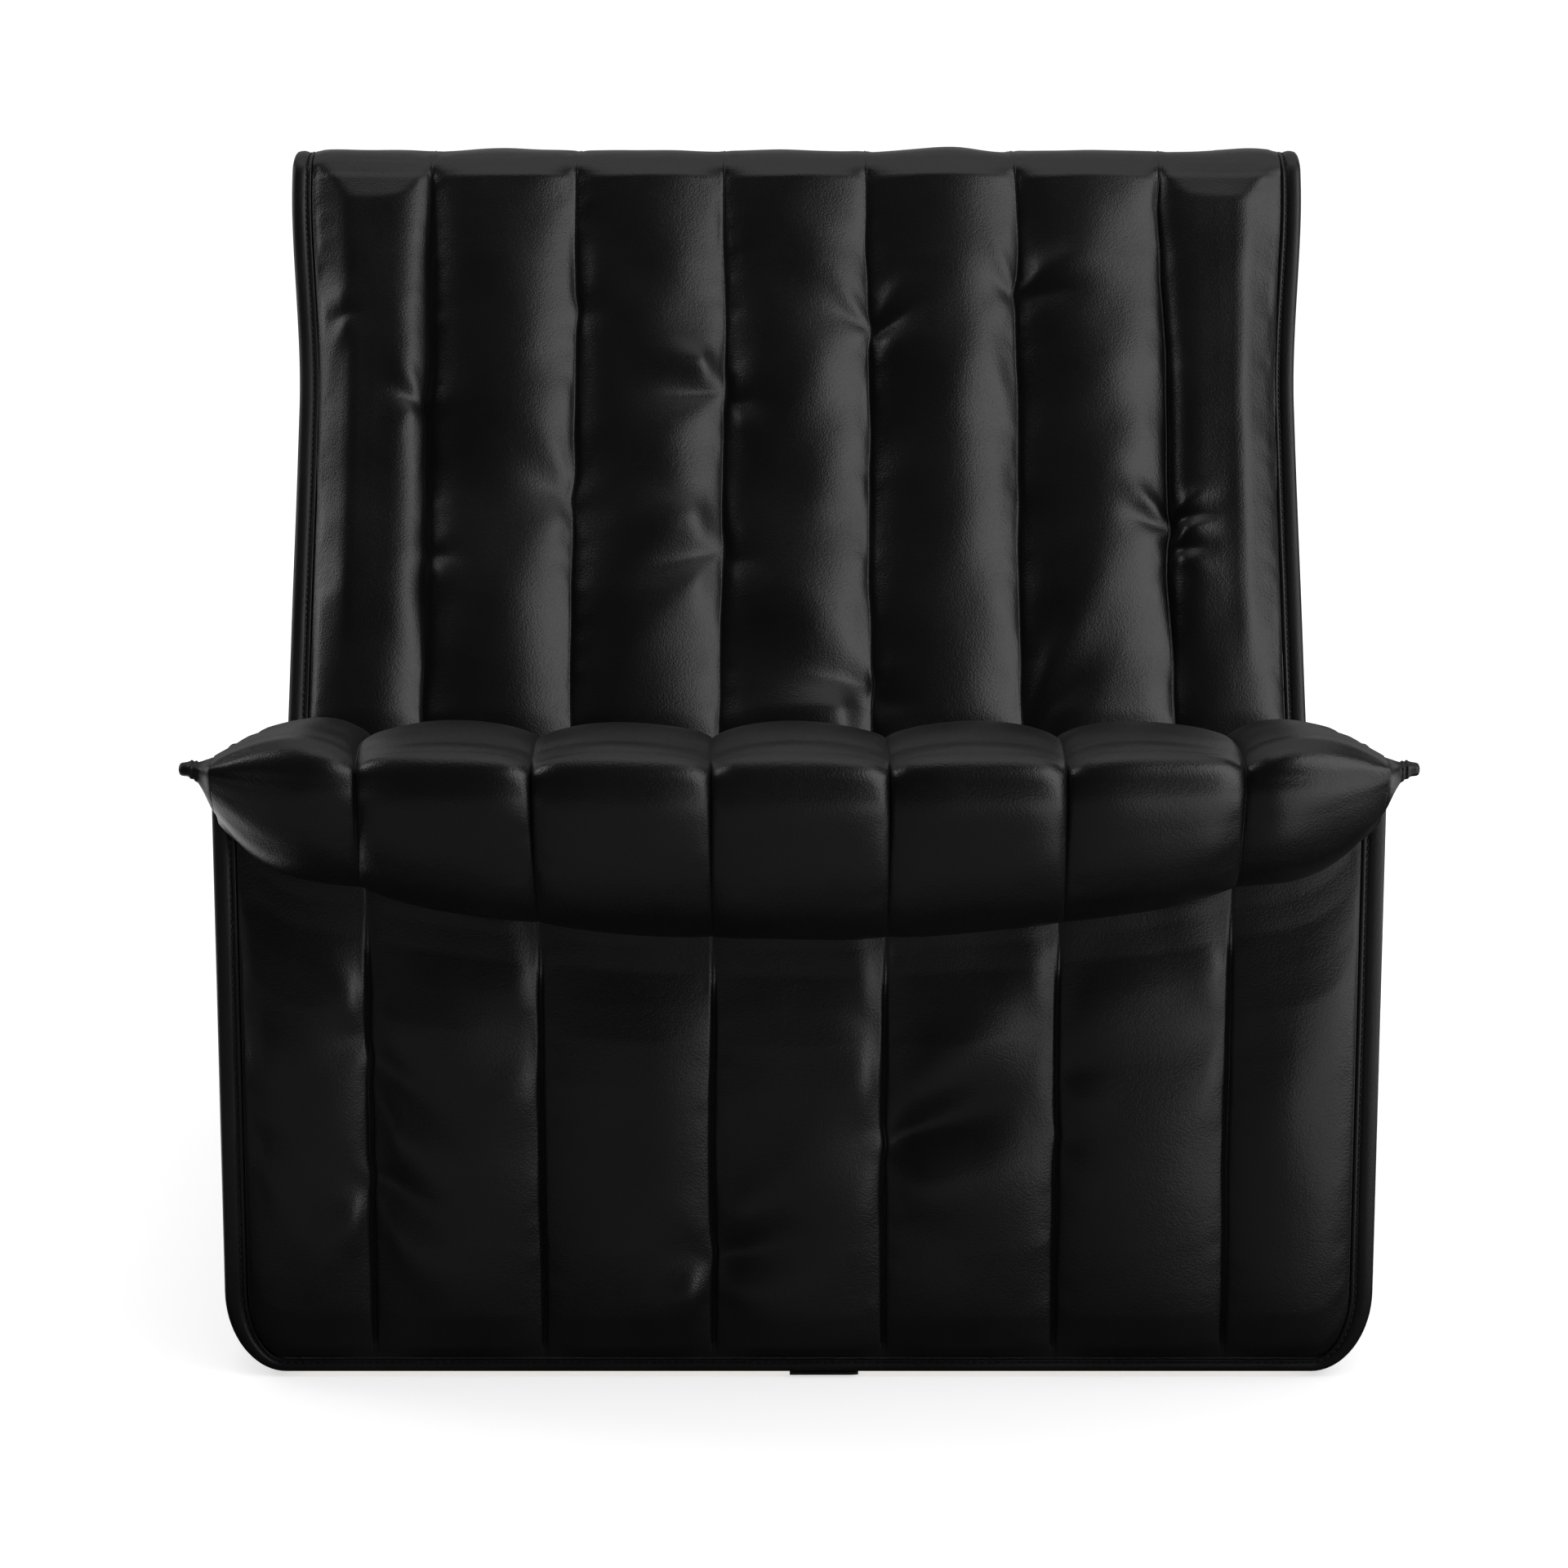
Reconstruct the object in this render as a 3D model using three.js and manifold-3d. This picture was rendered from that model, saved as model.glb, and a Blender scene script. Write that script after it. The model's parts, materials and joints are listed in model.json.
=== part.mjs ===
// A low lounge chair without arms. A quilted leather blanket of seven channels hangs down the front, folds
// forward into a stuffed lip with pinched ears, runs over the seat and up the raked back, and hangs down
// the rear. Plain leather sides, foam, elastic webbing and a timber frame are underneath it.
// Millimetres. X is across the chair, Y runs to the rear, Z is up, and the floor is z = 0.

import * as THREE from 'three';
import { mergeVertices } from 'three/addons/utils/BufferGeometryUtils.js';
import Module from 'manifold-3d';

const wasm = await Module();
wasm.setup();

// Widths of the blanket
const channelPitch = 113.4;
const innerChannelCount = 5;
const endChannelWidth = 84;
const edgeBandWidth = 16;
const earReach = 16.5;
const earRootReach = 10;
const topFlare = 11;

// Side profile of the blanket at its seams. A reach is a distance back from the lip's foremost seam point.
const lipOverhang = 92;
const lipUndersideHeight = 311;
const lipTopHeight = 438;
const lipEarSetback = 45;
const lipEarDrop = 8;
const earThickness = 24;
const crookReach = 530;
const crookHeight = 324;
const crookGap = 16;
const crookDip = 2;
const backTopReach = 789;
const backTopHeight = 738;
const ridgeRise = 18;
const ridgeDepth = 74;
const ridgeRearDrop = 24;
const rearLean = 28;
const hemHeight = 4;

// How far the channels stand out from their seams, and how thick the blanket is in a seam
const frontCrown = 13;
const lipCrown = 12;
const seatCrown = 13;
const backCrown = 16;
const ridgeCrown = 4;
const rearCrown = 12;
const quiltBacking = 6;
const lipBoltSlack = 2.5;

// How far the hanging quilts stay clear of the band and of the lip
const hangSlack = 1.5;

// Rounded lower corners of the front and rear, and the band that edges them
const cornerWidth = 45;
const cornerHeight = 86;
const bandBottomWidth = 9;
const lapLength = 40;
const lapThickness = 2.6;

// How far the ear tips, where the band is folded double, rise outward
const earTipRise = 5;

// Sides
const sideInset = 2;
const sideCoverThickness = 3;
const sidePadThickness = 10;
const sideBoardThickness = 4;

// Foam
const frontFoamThickness = 12;
const rearFoamThickness = 8;
const rearFoamDrop = 78;
const seatFoamThickness = 82;

// Timber frame
const frontBoardThickness = 8;
const boardThickness = 24;
const baseRailHeight = 52;
const postDepth = 50;
const seatRailHeight = 62;
const uprightDepth = 44;
const uprightFootGap = 22;
const uprightRearGap = 5;
const uprightTopDrop = 38;
const rearPostDepth = 26;
const topRailHeight = 58;
const topRailThickness = 34;
const lowBackRailDrop = 62;
const backRailHeight = 56;
const cornerBlockWidth = 90;
const cornerBlockHeight = 36;

// Webbing, dust cover and glides
const strapWidth = 62;
const strapThickness = 2;
const seatStrapCount = 5;
const backStrapCount = 4;
const dustCoverThickness = 1.6;
const glideHeight = 9.6;
const glideRadius = 16;
const glideSoleRadius = 12;
const glideRimHeight = 3;
const glideInset = 28;

// The gap between pieces that touch, and how far a cutting shape runs past what it cuts
const clearance = 0.3;
const overrun = 50;

// How much of the rounded corner the base rails give way to
const railBevelShare = 0.34;
const railChamferShare = 0.22;

// Sizes that follow from those above
const outerSeam = channelPitch * innerChannelCount / 2;
const quiltHalf = outerSeam + endChannelWidth;
const bodyHalf = quiltHalf + edgeBandWidth;
const earRoot = quiltHalf + earRootReach;
const earTipEnd = bodyHalf + earReach;
const lipEarRise = lipTopHeight - lipEarDrop - earThickness - lipUndersideHeight;
const earTipDepth = lipOverhang - lipEarSetback - clearance;
const bandThickness = quiltBacking - 2 * clearance;
const backFootReach = crookReach + crookGap;
const backFootHeight = crookHeight - crookDip;
const rearTopReach = backTopReach + ridgeDepth;
const rearTopHeight = backTopHeight - ridgeRearDrop;
const rearFootReach = rearTopReach + rearLean;
const seatRun = crookReach - lipOverhang;
const seatDrop = lipTopHeight - crookHeight;
const cornerCentreX = bodyHalf - cornerWidth;
const cornerCentreZ = hemHeight + cornerHeight;
const coverHalf = bodyHalf - sideInset;
const padHalf = coverHalf - sideCoverThickness - clearance;
const sideBoardHalf = padHalf - sidePadThickness - clearance;
const frameHalf = sideBoardHalf - sideBoardThickness - clearance;
const crossHalf = frameHalf - boardThickness - clearance;
const innerInset = quiltBacking + clearance;
const innerFront = lipOverhang + innerInset;
const boardFront = innerFront + frontFoamThickness + clearance;
const frameFront = boardFront + frontBoardThickness + clearance;
const frameBase = glideHeight + dustCoverThickness + 2 * clearance;
const baseRailTop = frameBase + baseRailHeight;
const baseRailBevel = cornerWidth * railBevelShare;
const baseRailChamfer = cornerHeight * railChamferShare;
const postBase = baseRailTop + clearance;
const seatSlope = seatDrop / seatRun;
const seatFoamBase = lipTopHeight - innerInset - seatFoamThickness;
const seatRailTop = seatFoamBase - strapThickness - 2 * clearance;
const uprightFootReach = backFootReach + uprightFootGap;
const uprightTopReach = rearTopReach - innerInset - uprightDepth - uprightRearGap;
const uprightTopHeight = backTopHeight - uprightTopDrop;
const lowBackRailHeight = crookHeight - lowBackRailDrop;
const topRailBase = uprightTopHeight - topRailHeight;
const midBackRailHeight = (lowBackRailHeight + topRailBase) / 2;
const rearFoamTop = rearTopHeight - rearFoamDrop;
const uprightSlope = (uprightTopReach - uprightFootReach) / (uprightTopHeight - postBase);
const rearSlope = (rearFootReach - rearTopReach) / (rearTopHeight - hemHeight);
const rearFoamInset = innerInset + rearFoamThickness + clearance;

// Outlines and crowns, as shares of the sizes above
const channelShares = [0, 0.07, 0.25, 0.5, 0.75, 0.93];
const bulgePower = 0.6;
const lipOutlineShares = [
  [1.04, 0.1], [0.84, 0], [0.6, 0.03], [0.37, 0.16], [0.18, 0.38], [0.06, 0.62],
  [0, 0.86], [0.04, 0.95], [0.16, 0.99], [0.4, 1.01], [0.8, 1.02],
];
const lipCrownShares = [0, 0.5, 0.85, 1, 1, 1, 1, 0.95, 0.85, 0.78, 0.75];
const seatLineShares = [[0.08, 0.06], [0.3, 0.3], [0.55, 0.56], [0.8, 0.82], [0.97, 1]];
const seatCrownShares = [0.85, 1, 1, 0.95, 0.4];
const earRiseShares = [[0, 0], [0.15, 0.01], [0.45, 0.11], [0.74, 0.33], [0.95, 0.7], [1, 1]];
const earSweepPower = 3;
const backLineShares = [
  [0, 0], [0.09, 0.08], [0.29, 0.275], [0.5, 0.47], [0.69, 0.665], [0.87, 0.85], [1, 1],
];
const backCrownShares = [0.3, 0.75, 1, 1, 1, 0.95, 0.7];
const ridgeAngles = [150, 120, 90, 60, 30, 0];
const ridgeCrownShares = [1.6, 1.1, 1, 1, 1.3, 1.8, 0];
const flareStartShare = 0.6;
const hangHeightShares = [0, 0.03, 0.1, 0.25, 0.45, 0.65, 0.85, 0.96, 1];
const hangCrownShares = [0, 0.55, 0.85, 1, 1, 1, 0.9, 0.6, 0.2];
const earTaperShares = [[0, 1], [0.35, 0.76], [0.7, 0.52], [0.92, 0.34], [1, 0.16]];
const lipBendPoint = 8;
const lipBoltEndShare = 0.6;
const lipBoltShares = [-1, -0.85, -0.5, 0, 0.5, 0.85, 1];
const earTipSides = 10;
const cornerSteps = 8;

const leather = new THREE.MeshStandardMaterial({ color: 0x141414, roughness: 0.42, metalness: 0 });
const bandLeather = new THREE.MeshStandardMaterial({ color: 0x0e0e0e, roughness: 0.5, metalness: 0 });
const timber = new THREE.MeshStandardMaterial({ color: 0xc8a878, roughness: 0.7, metalness: 0 });
const plywood = new THREE.MeshStandardMaterial({ color: 0xd8bd8e, roughness: 0.7, metalness: 0 });
const foam = new THREE.MeshStandardMaterial({ color: 0xe9e2cc, roughness: 0.9, metalness: 0 });
const fibre = new THREE.MeshStandardMaterial({ color: 0xf2f2ee, roughness: 0.95, metalness: 0 });
const webbing = new THREE.MeshStandardMaterial({ color: 0x5b5348, roughness: 0.9, metalness: 0 });
const lining = new THREE.MeshStandardMaterial({ color: 0x1d1d1f, roughness: 0.95, metalness: 0 });
const plastic = new THREE.MeshStandardMaterial({ color: 0x202022, roughness: 0.6, metalness: 0 });

const chair = new THREE.Group();
const body = new THREE.Group();
chair.add(body);

function add(name, geometry, material) {
  const mesh = new THREE.Mesh(geometry, material.clone());
  mesh.name = name;
  body.add(mesh);
}

function addPair(name, geometry, material) {
  add(`${name}_right`, geometry, material);
  add(`${name}_left`, mirrored(geometry), material);
}

// Solids

function signedVolume(points, triangles) {
  return triangles.reduce((sum, [i, j, k]) => (
    sum + points[i].dot(new THREE.Vector3().crossVectors(points[j], points[k]))
  ), 0);
}

function solidFrom(points, triangles) {
  const outward = signedVolume(points, triangles) > 0;
  const geometry = new THREE.BufferGeometry();
  geometry.setAttribute('position', new THREE.Float32BufferAttribute(points.flatMap((p) => p.toArray()), 3));
  geometry.setIndex(triangles.flatMap(([i, j, k]) => (outward ? [i, j, k] : [i, k, j])));
  return geometry;
}

// Closes a run of loops, each with as many points, into one skin. capOf gives the triangles that close an
// end loop, each turning the same way as the loop does.
function loft(loops, capOf) {
  const count = loops[0].length;
  const points = loops.flat();
  const triangles = [];
  for (let i = 0; i + 1 < loops.length; i += 1) {
    for (let j = 0; j < count; j += 1) {
      const a = i * count + j;
      const b = i * count + (j + 1) % count;
      triangles.push([a, b, b + count], [a, b + count, a + count]);
    }
  }
  const firstCap = capOf(loops[0]).map(([a, b, c]) => [a, c, b]);
  const lastCap = capOf(loops.at(-1)).map((triangle) => triangle.map((n) => n + points.length - count));
  return solidFrom(points, [...triangles, ...firstCap, ...lastCap]);
}

// A cap for a loop in one plane, given the two coordinates that change in it
function flatCap(first, second) {
  return (loop) => {
    const outline = loop.map((p) => new THREE.Vector2(p[first], p[second]));
    const clockwise = THREE.ShapeUtils.isClockWise(outline);
    const triangles = THREE.ShapeUtils.triangulateShape(outline, []);
    return triangles.map(([a, b, c]) => (clockwise ? [a, c, b] : [a, b, c]));
  };
}

// A cap for the end of a sheet: the loop's first points, as many as faceCount, are on one face, and the rest
// come back along the other face.
function sheetCap(faceCount) {
  return (loop) => {
    const triangles = [];
    let a = 0;
    let b = loop.length - 1;
    while (a + 1 < faceCount || b > faceCount) {
      const stepA = a + 1 < faceCount ? loop[a + 1].distanceTo(loop[b]) : Infinity;
      const stepB = b > faceCount ? loop[a].distanceTo(loop[b - 1]) : Infinity;
      if (stepA < stepB) {
        triangles.push([a, a + 1, b]);
        a += 1;
      } else {
        triangles.push([a, b - 1, b]);
        b -= 1;
      }
    }
    return triangles;
  };
}

function positionsOnly(geometry) {
  const plain = new THREE.BufferGeometry();
  plain.setAttribute('position', geometry.getAttribute('position').clone());
  plain.setIndex(geometry.getIndex());
  return mergeVertices(plain);
}

function mirrored(geometry) {
  const copy = positionsOnly(geometry);
  copy.applyMatrix4(new THREE.Matrix4().makeScale(-1, 1, 1));
  const index = copy.getIndex();
  for (let i = 0; i < index.count; i += 3) {
    const second = index.getX(i + 1);
    index.setX(i + 1, index.getX(i + 2));
    index.setX(i + 2, second);
  }
  return copy;
}

function prismX(outline, x0, x1) {
  const loops = [x0, x1].map((x) => outline.map(([y, z]) => new THREE.Vector3(x, y, z)));
  return loft(loops, flatCap('y', 'z'));
}

function prismY(outline, y0, y1) {
  const loops = [y0, y1].map((y) => outline.map(([x, z]) => new THREE.Vector3(x, y, z)));
  return loft(loops, flatCap('x', 'z'));
}

function prismZ(outline, z0, z1) {
  const loops = [z0, z1].map((z) => outline.map(([x, y]) => new THREE.Vector3(x, y, z)));
  return loft(loops, flatCap('x', 'y'));
}

function toManifold(geometry) {
  const merged = positionsOnly(geometry);
  return new wasm.Manifold(new wasm.Mesh({
    numProp: 3,
    vertProperties: merged.getAttribute('position').array,
    triVerts: new Uint32Array(merged.getIndex().array),
  }));
}

function fromManifold(solid) {
  const mesh = solid.getMesh();
  const geometry = new THREE.BufferGeometry();
  geometry.setAttribute('position', new THREE.Float32BufferAttribute(mesh.vertProperties, 3));
  geometry.setIndex(Array.from(mesh.triVerts));
  return geometry;
}

// Lines of [reach, height] points

function along(table, share) {
  const last = Math.max(table.findIndex(([s]) => s >= share), 1);
  const [s0, v0] = table[last - 1];
  const [s1, v1] = table[last];
  return THREE.MathUtils.lerp(v0, v1, (share - s0) / (s1 - s0));
}

// Moves each point to the left of the line by its distance. The neighbours before and after the line's ends
// set the direction there, so that pieces which follow one another are offset alike.
function offsetLine(line, distances, before = line[0], after = line.at(-1)) {
  const whole = [before, ...line, after];
  return line.map(([y, z], i) => {
    const [y0, z0] = whole[i];
    const [y1, z1] = whole[i + 2];
    const run = Math.hypot(y1 - y0, z1 - z0);
    const distance = Array.isArray(distances) ? distances[i] : distances;
    return [y - (z1 - z0) / run * distance, z + (y1 - y0) / run * distance];
  });
}

// The blanket's lines at its seams

const earShare = (x) => Math.min(Math.abs(x) / earRoot, 1);
const lipUnderside = (x) => lipUndersideHeight + lipEarRise * along(earRiseShares, earShare(x));
const lipTop = (x) => lipTopHeight - lipEarDrop * along(earRiseShares, earShare(x));
const lipFront = (x) => lipEarSetback * earShare(x) ** earSweepPower;

function lipLine(x) {
  const bottom = lipUnderside(x);
  const height = lipTop(x) - bottom;
  const depth = lipOverhang - lipFront(x);
  return lipOutlineShares.map(([y, z]) => [lipFront(x) + depth * y, bottom + height * z]);
}

const seatLine = seatLineShares.map(([y, z]) => [lipOverhang + seatRun * y, lipTopHeight - seatDrop * z]);

const backLine = backLineShares.map(([y, z]) => [
  THREE.MathUtils.lerp(backFootReach, backTopReach, y),
  THREE.MathUtils.lerp(backFootHeight, backTopHeight, z),
]);

const ridgeLine = ridgeAngles.map(THREE.MathUtils.degToRad).map((angle) => [
  (backTopReach + rearTopReach) / 2 + (rearTopReach - backTopReach) / 2 * Math.cos(angle),
  backTopHeight + ridgeRise * Math.sin(angle),
]);

const rearReach = (z) => rearTopReach + (rearTopHeight - z) * rearSlope;
const rearEdge = [rearTopReach, rearTopHeight + clearance];
const wholeBackLine = [...backLine, ...ridgeLine, rearEdge];
const crookBefore = seatLine.at(-1);
const rearAfter = [rearReach(hemHeight), hemHeight];
const wholeSeatLine = (x) => [...lipLine(x), ...seatLine];

const offsetSeat = (x, distances) => offsetLine(wholeSeatLine(x), distances, undefined, backLine[0]);
const offsetBack = (distances) => offsetLine(wholeBackLine, distances, crookBefore, rearAfter);

// The top corners of the back stand out past its sides.
function flare(z) {
  const start = THREE.MathUtils.lerp(backFootHeight, backTopHeight, flareStartShare);
  return topFlare * THREE.MathUtils.smoothstep(z, start, backTopHeight);
}

// Quilts

// Each station across the blanket has its place, how far the channel swells there, and, in an end channel,
// how far it is from the last seam to the edge, as a signed share.
function quiltStations() {
  const swell = (share) => Math.sin(Math.PI * share) ** bulgePower;
  const outward = [...channelShares, 1];
  const ends = outward.map((share) => ({
    x: outerSeam + endChannelWidth * share,
    swell: share < 1 ? swell(share) : 0,
    edge: share,
  }));
  const left = ends.slice(1).reverse().map((station) => ({ ...station, x: -station.x, edge: -station.edge }));
  const channels = Array.from({ length: innerChannelCount }, (_, i) => i);
  const middle = channels.flatMap((i) => channelShares.map((share) => ({
    x: -outerSeam + channelPitch * (i + share),
    swell: swell(share),
    edge: 0,
  })));
  return [...left, ...middle, ...ends];
}

// outsideAt and insideAt give the blanket's two faces at a station, each as a line in the same direction.
// extraAt is how much further out an end channel's edge is at a place on them.
function quilt({ outsideAt, insideAt, extraAt }) {
  const loops = quiltStations().map(({ x, swell, edge }) => {
    const line = [...outsideAt(x, swell), ...insideAt(x).reverse()];
    return line.map(([y, z]) => new THREE.Vector3(x + edge * extraAt(y, z), y, z));
  });
  return loft(loops, sheetCap(outsideAt(0, 0).length));
}

const scaled = (shares, size) => shares.map((share) => share * size);

// The seat's quilt wraps round the lip like a C, and thins where the ears pinch it.
function seatInside(x) {
  const pinch = (lipTop(x) - lipUnderside(x)) / (lipTopHeight - lipUndersideHeight);
  const inLip = (i) => i < lipOutlineShares.length;
  const backings = wholeSeatLine(x).map((point, i) => -quiltBacking * (inLip(i) ? pinch : 1));
  return offsetSeat(x, backings).filter((point, i) => i % 2 === 0 || !inLip(i));
}

// The ears stand out past the seat. Its edge runs straight in from the lip's last point to the seat's first.
const lipEnd = lipLine(quiltHalf).at(-1);
const seatStart = seatLine[0];
const earExtra = (y) => (
  earRootReach * THREE.MathUtils.clamp((seatStart[0] - y) / (seatStart[0] - lipEnd[0]), 0, 1)
);
const seatCrowns = [...scaled(lipCrownShares, lipCrown), ...scaled(seatCrownShares, seatCrown)];
add('seat_quilt', quilt({
  outsideAt: (x, swell) => offsetSeat(x, scaled(seatCrowns, swell)),
  insideAt: seatInside,
  extraAt: earExtra,
}), leather);

const backCrowns = [...scaled(backCrownShares, backCrown), ...scaled(ridgeCrownShares, ridgeCrown)];
add('back_quilt', quilt({
  outsideAt: (x, swell) => offsetBack(scaled(backCrowns, swell)),
  insideAt: () => offsetBack(-quiltBacking),
  extraAt: (y, z) => flare(z),
}), leather);

// Height of the front and rear quilts' lower edge, which rounds up at the corners
function hemAt(x) {
  const out = Math.max(Math.abs(x) - cornerCentreX, 0) / (quiltHalf - cornerCentreX);
  const drop = cornerHeight - bandBottomWidth - hangSlack;
  return cornerCentreZ - drop * Math.sqrt(Math.max(1 - out ** 2, 0));
}

const hangHeights = (x, top) => hangHeightShares.map((share) => THREE.MathUtils.lerp(hemAt(x), top, share));
// The lip's stations are spread out to the ears, so the front quilt follows the underside a little further in.
const frontTop = (x) => lipUnderside(x * quiltHalf / earRoot) - hangSlack - quiltBacking;
const frontCrowns = scaled(hangCrownShares, frontCrown);
add('front_quilt', quilt({
  outsideAt: (x, swell) => hangHeights(x, frontTop(x)).map((z, i) => (
    [lipOverhang - frontCrowns[i] * swell, z]
  )),
  insideAt: (x) => [hemAt(x), frontTop(x)].map((z) => [lipOverhang + quiltBacking, z]),
  extraAt: () => 0,
}), leather);

const rearCrowns = scaled(hangCrownShares, rearCrown);
add('rear_quilt', quilt({
  outsideAt: (x, swell) => hangHeights(x, rearTopHeight).map((z, i) => (
    [rearReach(z) + rearCrowns[i] * swell, z]
  )),
  insideAt: (x) => hangHeights(x, rearTopHeight).map((z) => [rearReach(z) - quiltBacking, z]),
  extraAt: (y, z) => flare(z),
}), leather);

// The stuffed bolt inside the lip, which backs onto the seat foam. It cuts across the lip's tight upper bend,
// where its line would cross itself in a thin lip.
function lipBolt() {
  const end = outerSeam + endChannelWidth * lipBoltEndShare;
  const back = innerFront - clearance;
  const loops = lipBoltShares.map((share) => {
    const x = end * share;
    const inner = offsetSeat(x, -quiltBacking - lipBoltSlack).slice(0, lipOutlineShares.length + 1);
    const round = inner.filter((point, i) => i % 2 === 0 && i > 0 && i !== lipBendPoint);
    const line = [...round, [back, inner.at(-1)[1]], [back, inner[0][1] + lipBoltSlack]];
    return line.map(([y, z]) => new THREE.Vector3(x, y, z));
  });
  return loft(loops, flatCap('y', 'z'));
}

add('lip_bolt', lipBolt(), fibre);

// Edge bands

// The rounded lower right corner of an outline, from its upright side round to its level bottom
function corner(half, bottom) {
  const turn = Array.from({ length: cornerSteps + 1 }, (_, i) => (Math.PI / 2) * (i / cornerSteps));
  return turn.map((angle) => [
    cornerCentreX + (half - cornerCentreX) * Math.cos(angle),
    cornerCentreZ - (cornerCentreZ - bottom) * Math.sin(angle),
  ]);
}

function tray(half, bottom, top) {
  const right = [[half, top], ...corner(half, bottom)];
  return [...right, ...right.slice().reverse().map(([x, z]) => [-x, z])];
}

function leaned(geometry, reachAt) {
  const position = geometry.getAttribute('position');
  for (let i = 0; i < position.count; i += 1) {
    position.setY(i, position.getY(i) + reachAt(position.getZ(i)));
  }
  return geometry;
}

// One half of the band round the front or rear quilt: outer edge down, then inner edge back up
function hangingBand(tops, endAtMiddle, reachAt) {
  const edge = (half, bottom) => [...tops.map((z) => [half + flare(z), z]), ...corner(half, bottom)];
  const outer = edge(bodyHalf, hemHeight);
  const inner = edge(quiltHalf + clearance, hemHeight + bandBottomWidth);
  return leaned(prismY([...outer, ...endAtMiddle, ...inner.reverse()], 0, bandThickness), reachAt);
}

const bandInset = quiltBacking - bandThickness;
const frontBandTops = [frontTop(quiltHalf)];
const middle = clearance / 2;
const squareEnd = [[middle, hemHeight], [middle, hemHeight + bandBottomWidth]];
const lapFace = hemHeight - clearance;
const lappedEnd = [
  [lapThickness * 2, hemHeight],
  [lapThickness, lapFace - lapThickness],
  [-lapLength, lapFace - lapThickness],
  [-lapLength, lapFace],
  [middle, lapFace],
  [middle, hemHeight + bandBottomWidth],
];
const atFront = () => lipOverhang + bandInset;
add('front_band_right', hangingBand(frontBandTops, squareEnd, atFront), bandLeather);
add('front_band_left', mirrored(hangingBand(frontBandTops, lappedEnd, atFront)), bandLeather);

const rearBandTops = hangHeights(quiltHalf, rearTopHeight).slice(-4).reverse();
const atRear = (z) => rearReach(z) - quiltBacking;
addPair('rear_band', hangingBand(rearBandTops, squareEnd, atRear), bandLeather);

// The band that edges the seat and the back, from the ear to the ridge
function sideBand() {
  const share = (lipOverhang + clearance - lipEnd[0]) / (seatStart[0] - lipEnd[0]);
  const start = lipEnd.map((value, i) => THREE.MathUtils.lerp(value, seatStart[i], share));
  const line = [start, ...seatLine, ...wholeBackLine];
  const under = offsetLine(line, -bandThickness, lipEnd, rearAfter);
  const inner = quiltHalf + clearance;
  const loops = line.map((top, i) => (
    [[inner, top], [bodyHalf, top], [bodyHalf, under[i]], [inner, under[i]]].map(([x, [y, z]]) => (
      new THREE.Vector3(x + earExtra(y) + flare(z), y, z)
    ))
  ));
  return loft(loops, sheetCap(loops[0].length / 2));
}

addPair('side_band', sideBand(), bandLeather);

function earTip() {
  const rootX = earRoot + clearance;
  const rootY = lipEarSetback + earTipDepth / 2;
  const rootZ = (lipTop(earRoot) + lipUnderside(earRoot)) / 2;
  const turn = Array.from({ length: earTipSides }, (_, i) => 2 * Math.PI * (i / earTipSides));
  const loops = earTaperShares.map(([out, size]) => turn.map((angle) => new THREE.Vector3(
    THREE.MathUtils.lerp(rootX, earTipEnd, out),
    lipEarSetback + (rootY - lipEarSetback) * size + earTipDepth / 2 * size * Math.cos(angle),
    rootZ + earTipRise * out + earThickness / 2 * size * Math.sin(angle),
  )));
  return loft(loops, flatCap('y', 'z'));
}

addPair('ear_tip', earTip(), bandLeather);

// Sides

// The side of the chair inside the blanket, as one L-shaped outline
function sideOutline(bottom) {
  const shoulder = lipTop(quiltHalf) - innerInset - lipEarDrop;
  const seat = offsetSeat(0, -innerInset).slice(lipOutlineShares.length);
  const back = offsetBack(-innerInset);
  return [
    [innerFront, bottom],
    [innerFront, shoulder],
    ...seat,
    ...back,
    [rearReach(bottom) - innerInset, bottom],
  ];
}

// A thin shell that stands upright at the side and curls under at the bottom
function sideCover() {
  const deep = [-overrun, rearFootReach + overrun];
  const tall = backTopHeight + ridgeRise + overrun;
  const through = (half, bottom) => toManifold(prismY(tray(half, bottom, tall), ...deep));
  const inner = through(coverHalf - sideCoverThickness, hemHeight + sideCoverThickness);
  const wedge = [[cornerCentreX, -overrun], [bodyHalf, -overrun], [bodyHalf, tall], [cornerCentreX, tall]];
  return fromManifold(toManifold(prismX(sideOutline(hemHeight), 0, bodyHalf))
    .intersect(through(coverHalf, hemHeight))
    .subtract(inner)
    .intersect(toManifold(prismY(wedge, ...deep))));
}

const outline = sideOutline(cornerCentreZ);
addPair('side_cover', sideCover(), leather);
addPair('side_pad', prismX(outline, padHalf - sidePadThickness, padHalf), fibre);
addPair('side_board', prismX(outline, sideBoardHalf - sideBoardThickness, sideBoardHalf), plywood);

// Foam

const foamHalf = frameHalf;
const plateBottom = hemHeight + quiltBacking;
const seatFoamUnder = (y) => seatFoamBase - seatSlope * (y - lipOverhang);
const railTopAt = (y) => seatRailTop - seatSlope * (y - lipOverhang);
const uprightFace = (z) => uprightFootReach + (z - postBase) * uprightSlope;
const strapFace = (z) => uprightFace(z) - strapThickness - 2 * clearance;
const frontFoamTop = seatFoamUnder(frameFront) - clearance;

const frontPlate = tray(foamHalf, plateBottom, frontFoamTop);
add('front_foam', prismY(frontPlate, innerFront, boardFront - clearance), foam);
add('front_board', prismY(frontPlate, boardFront, frameFront - clearance), plywood);

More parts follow.
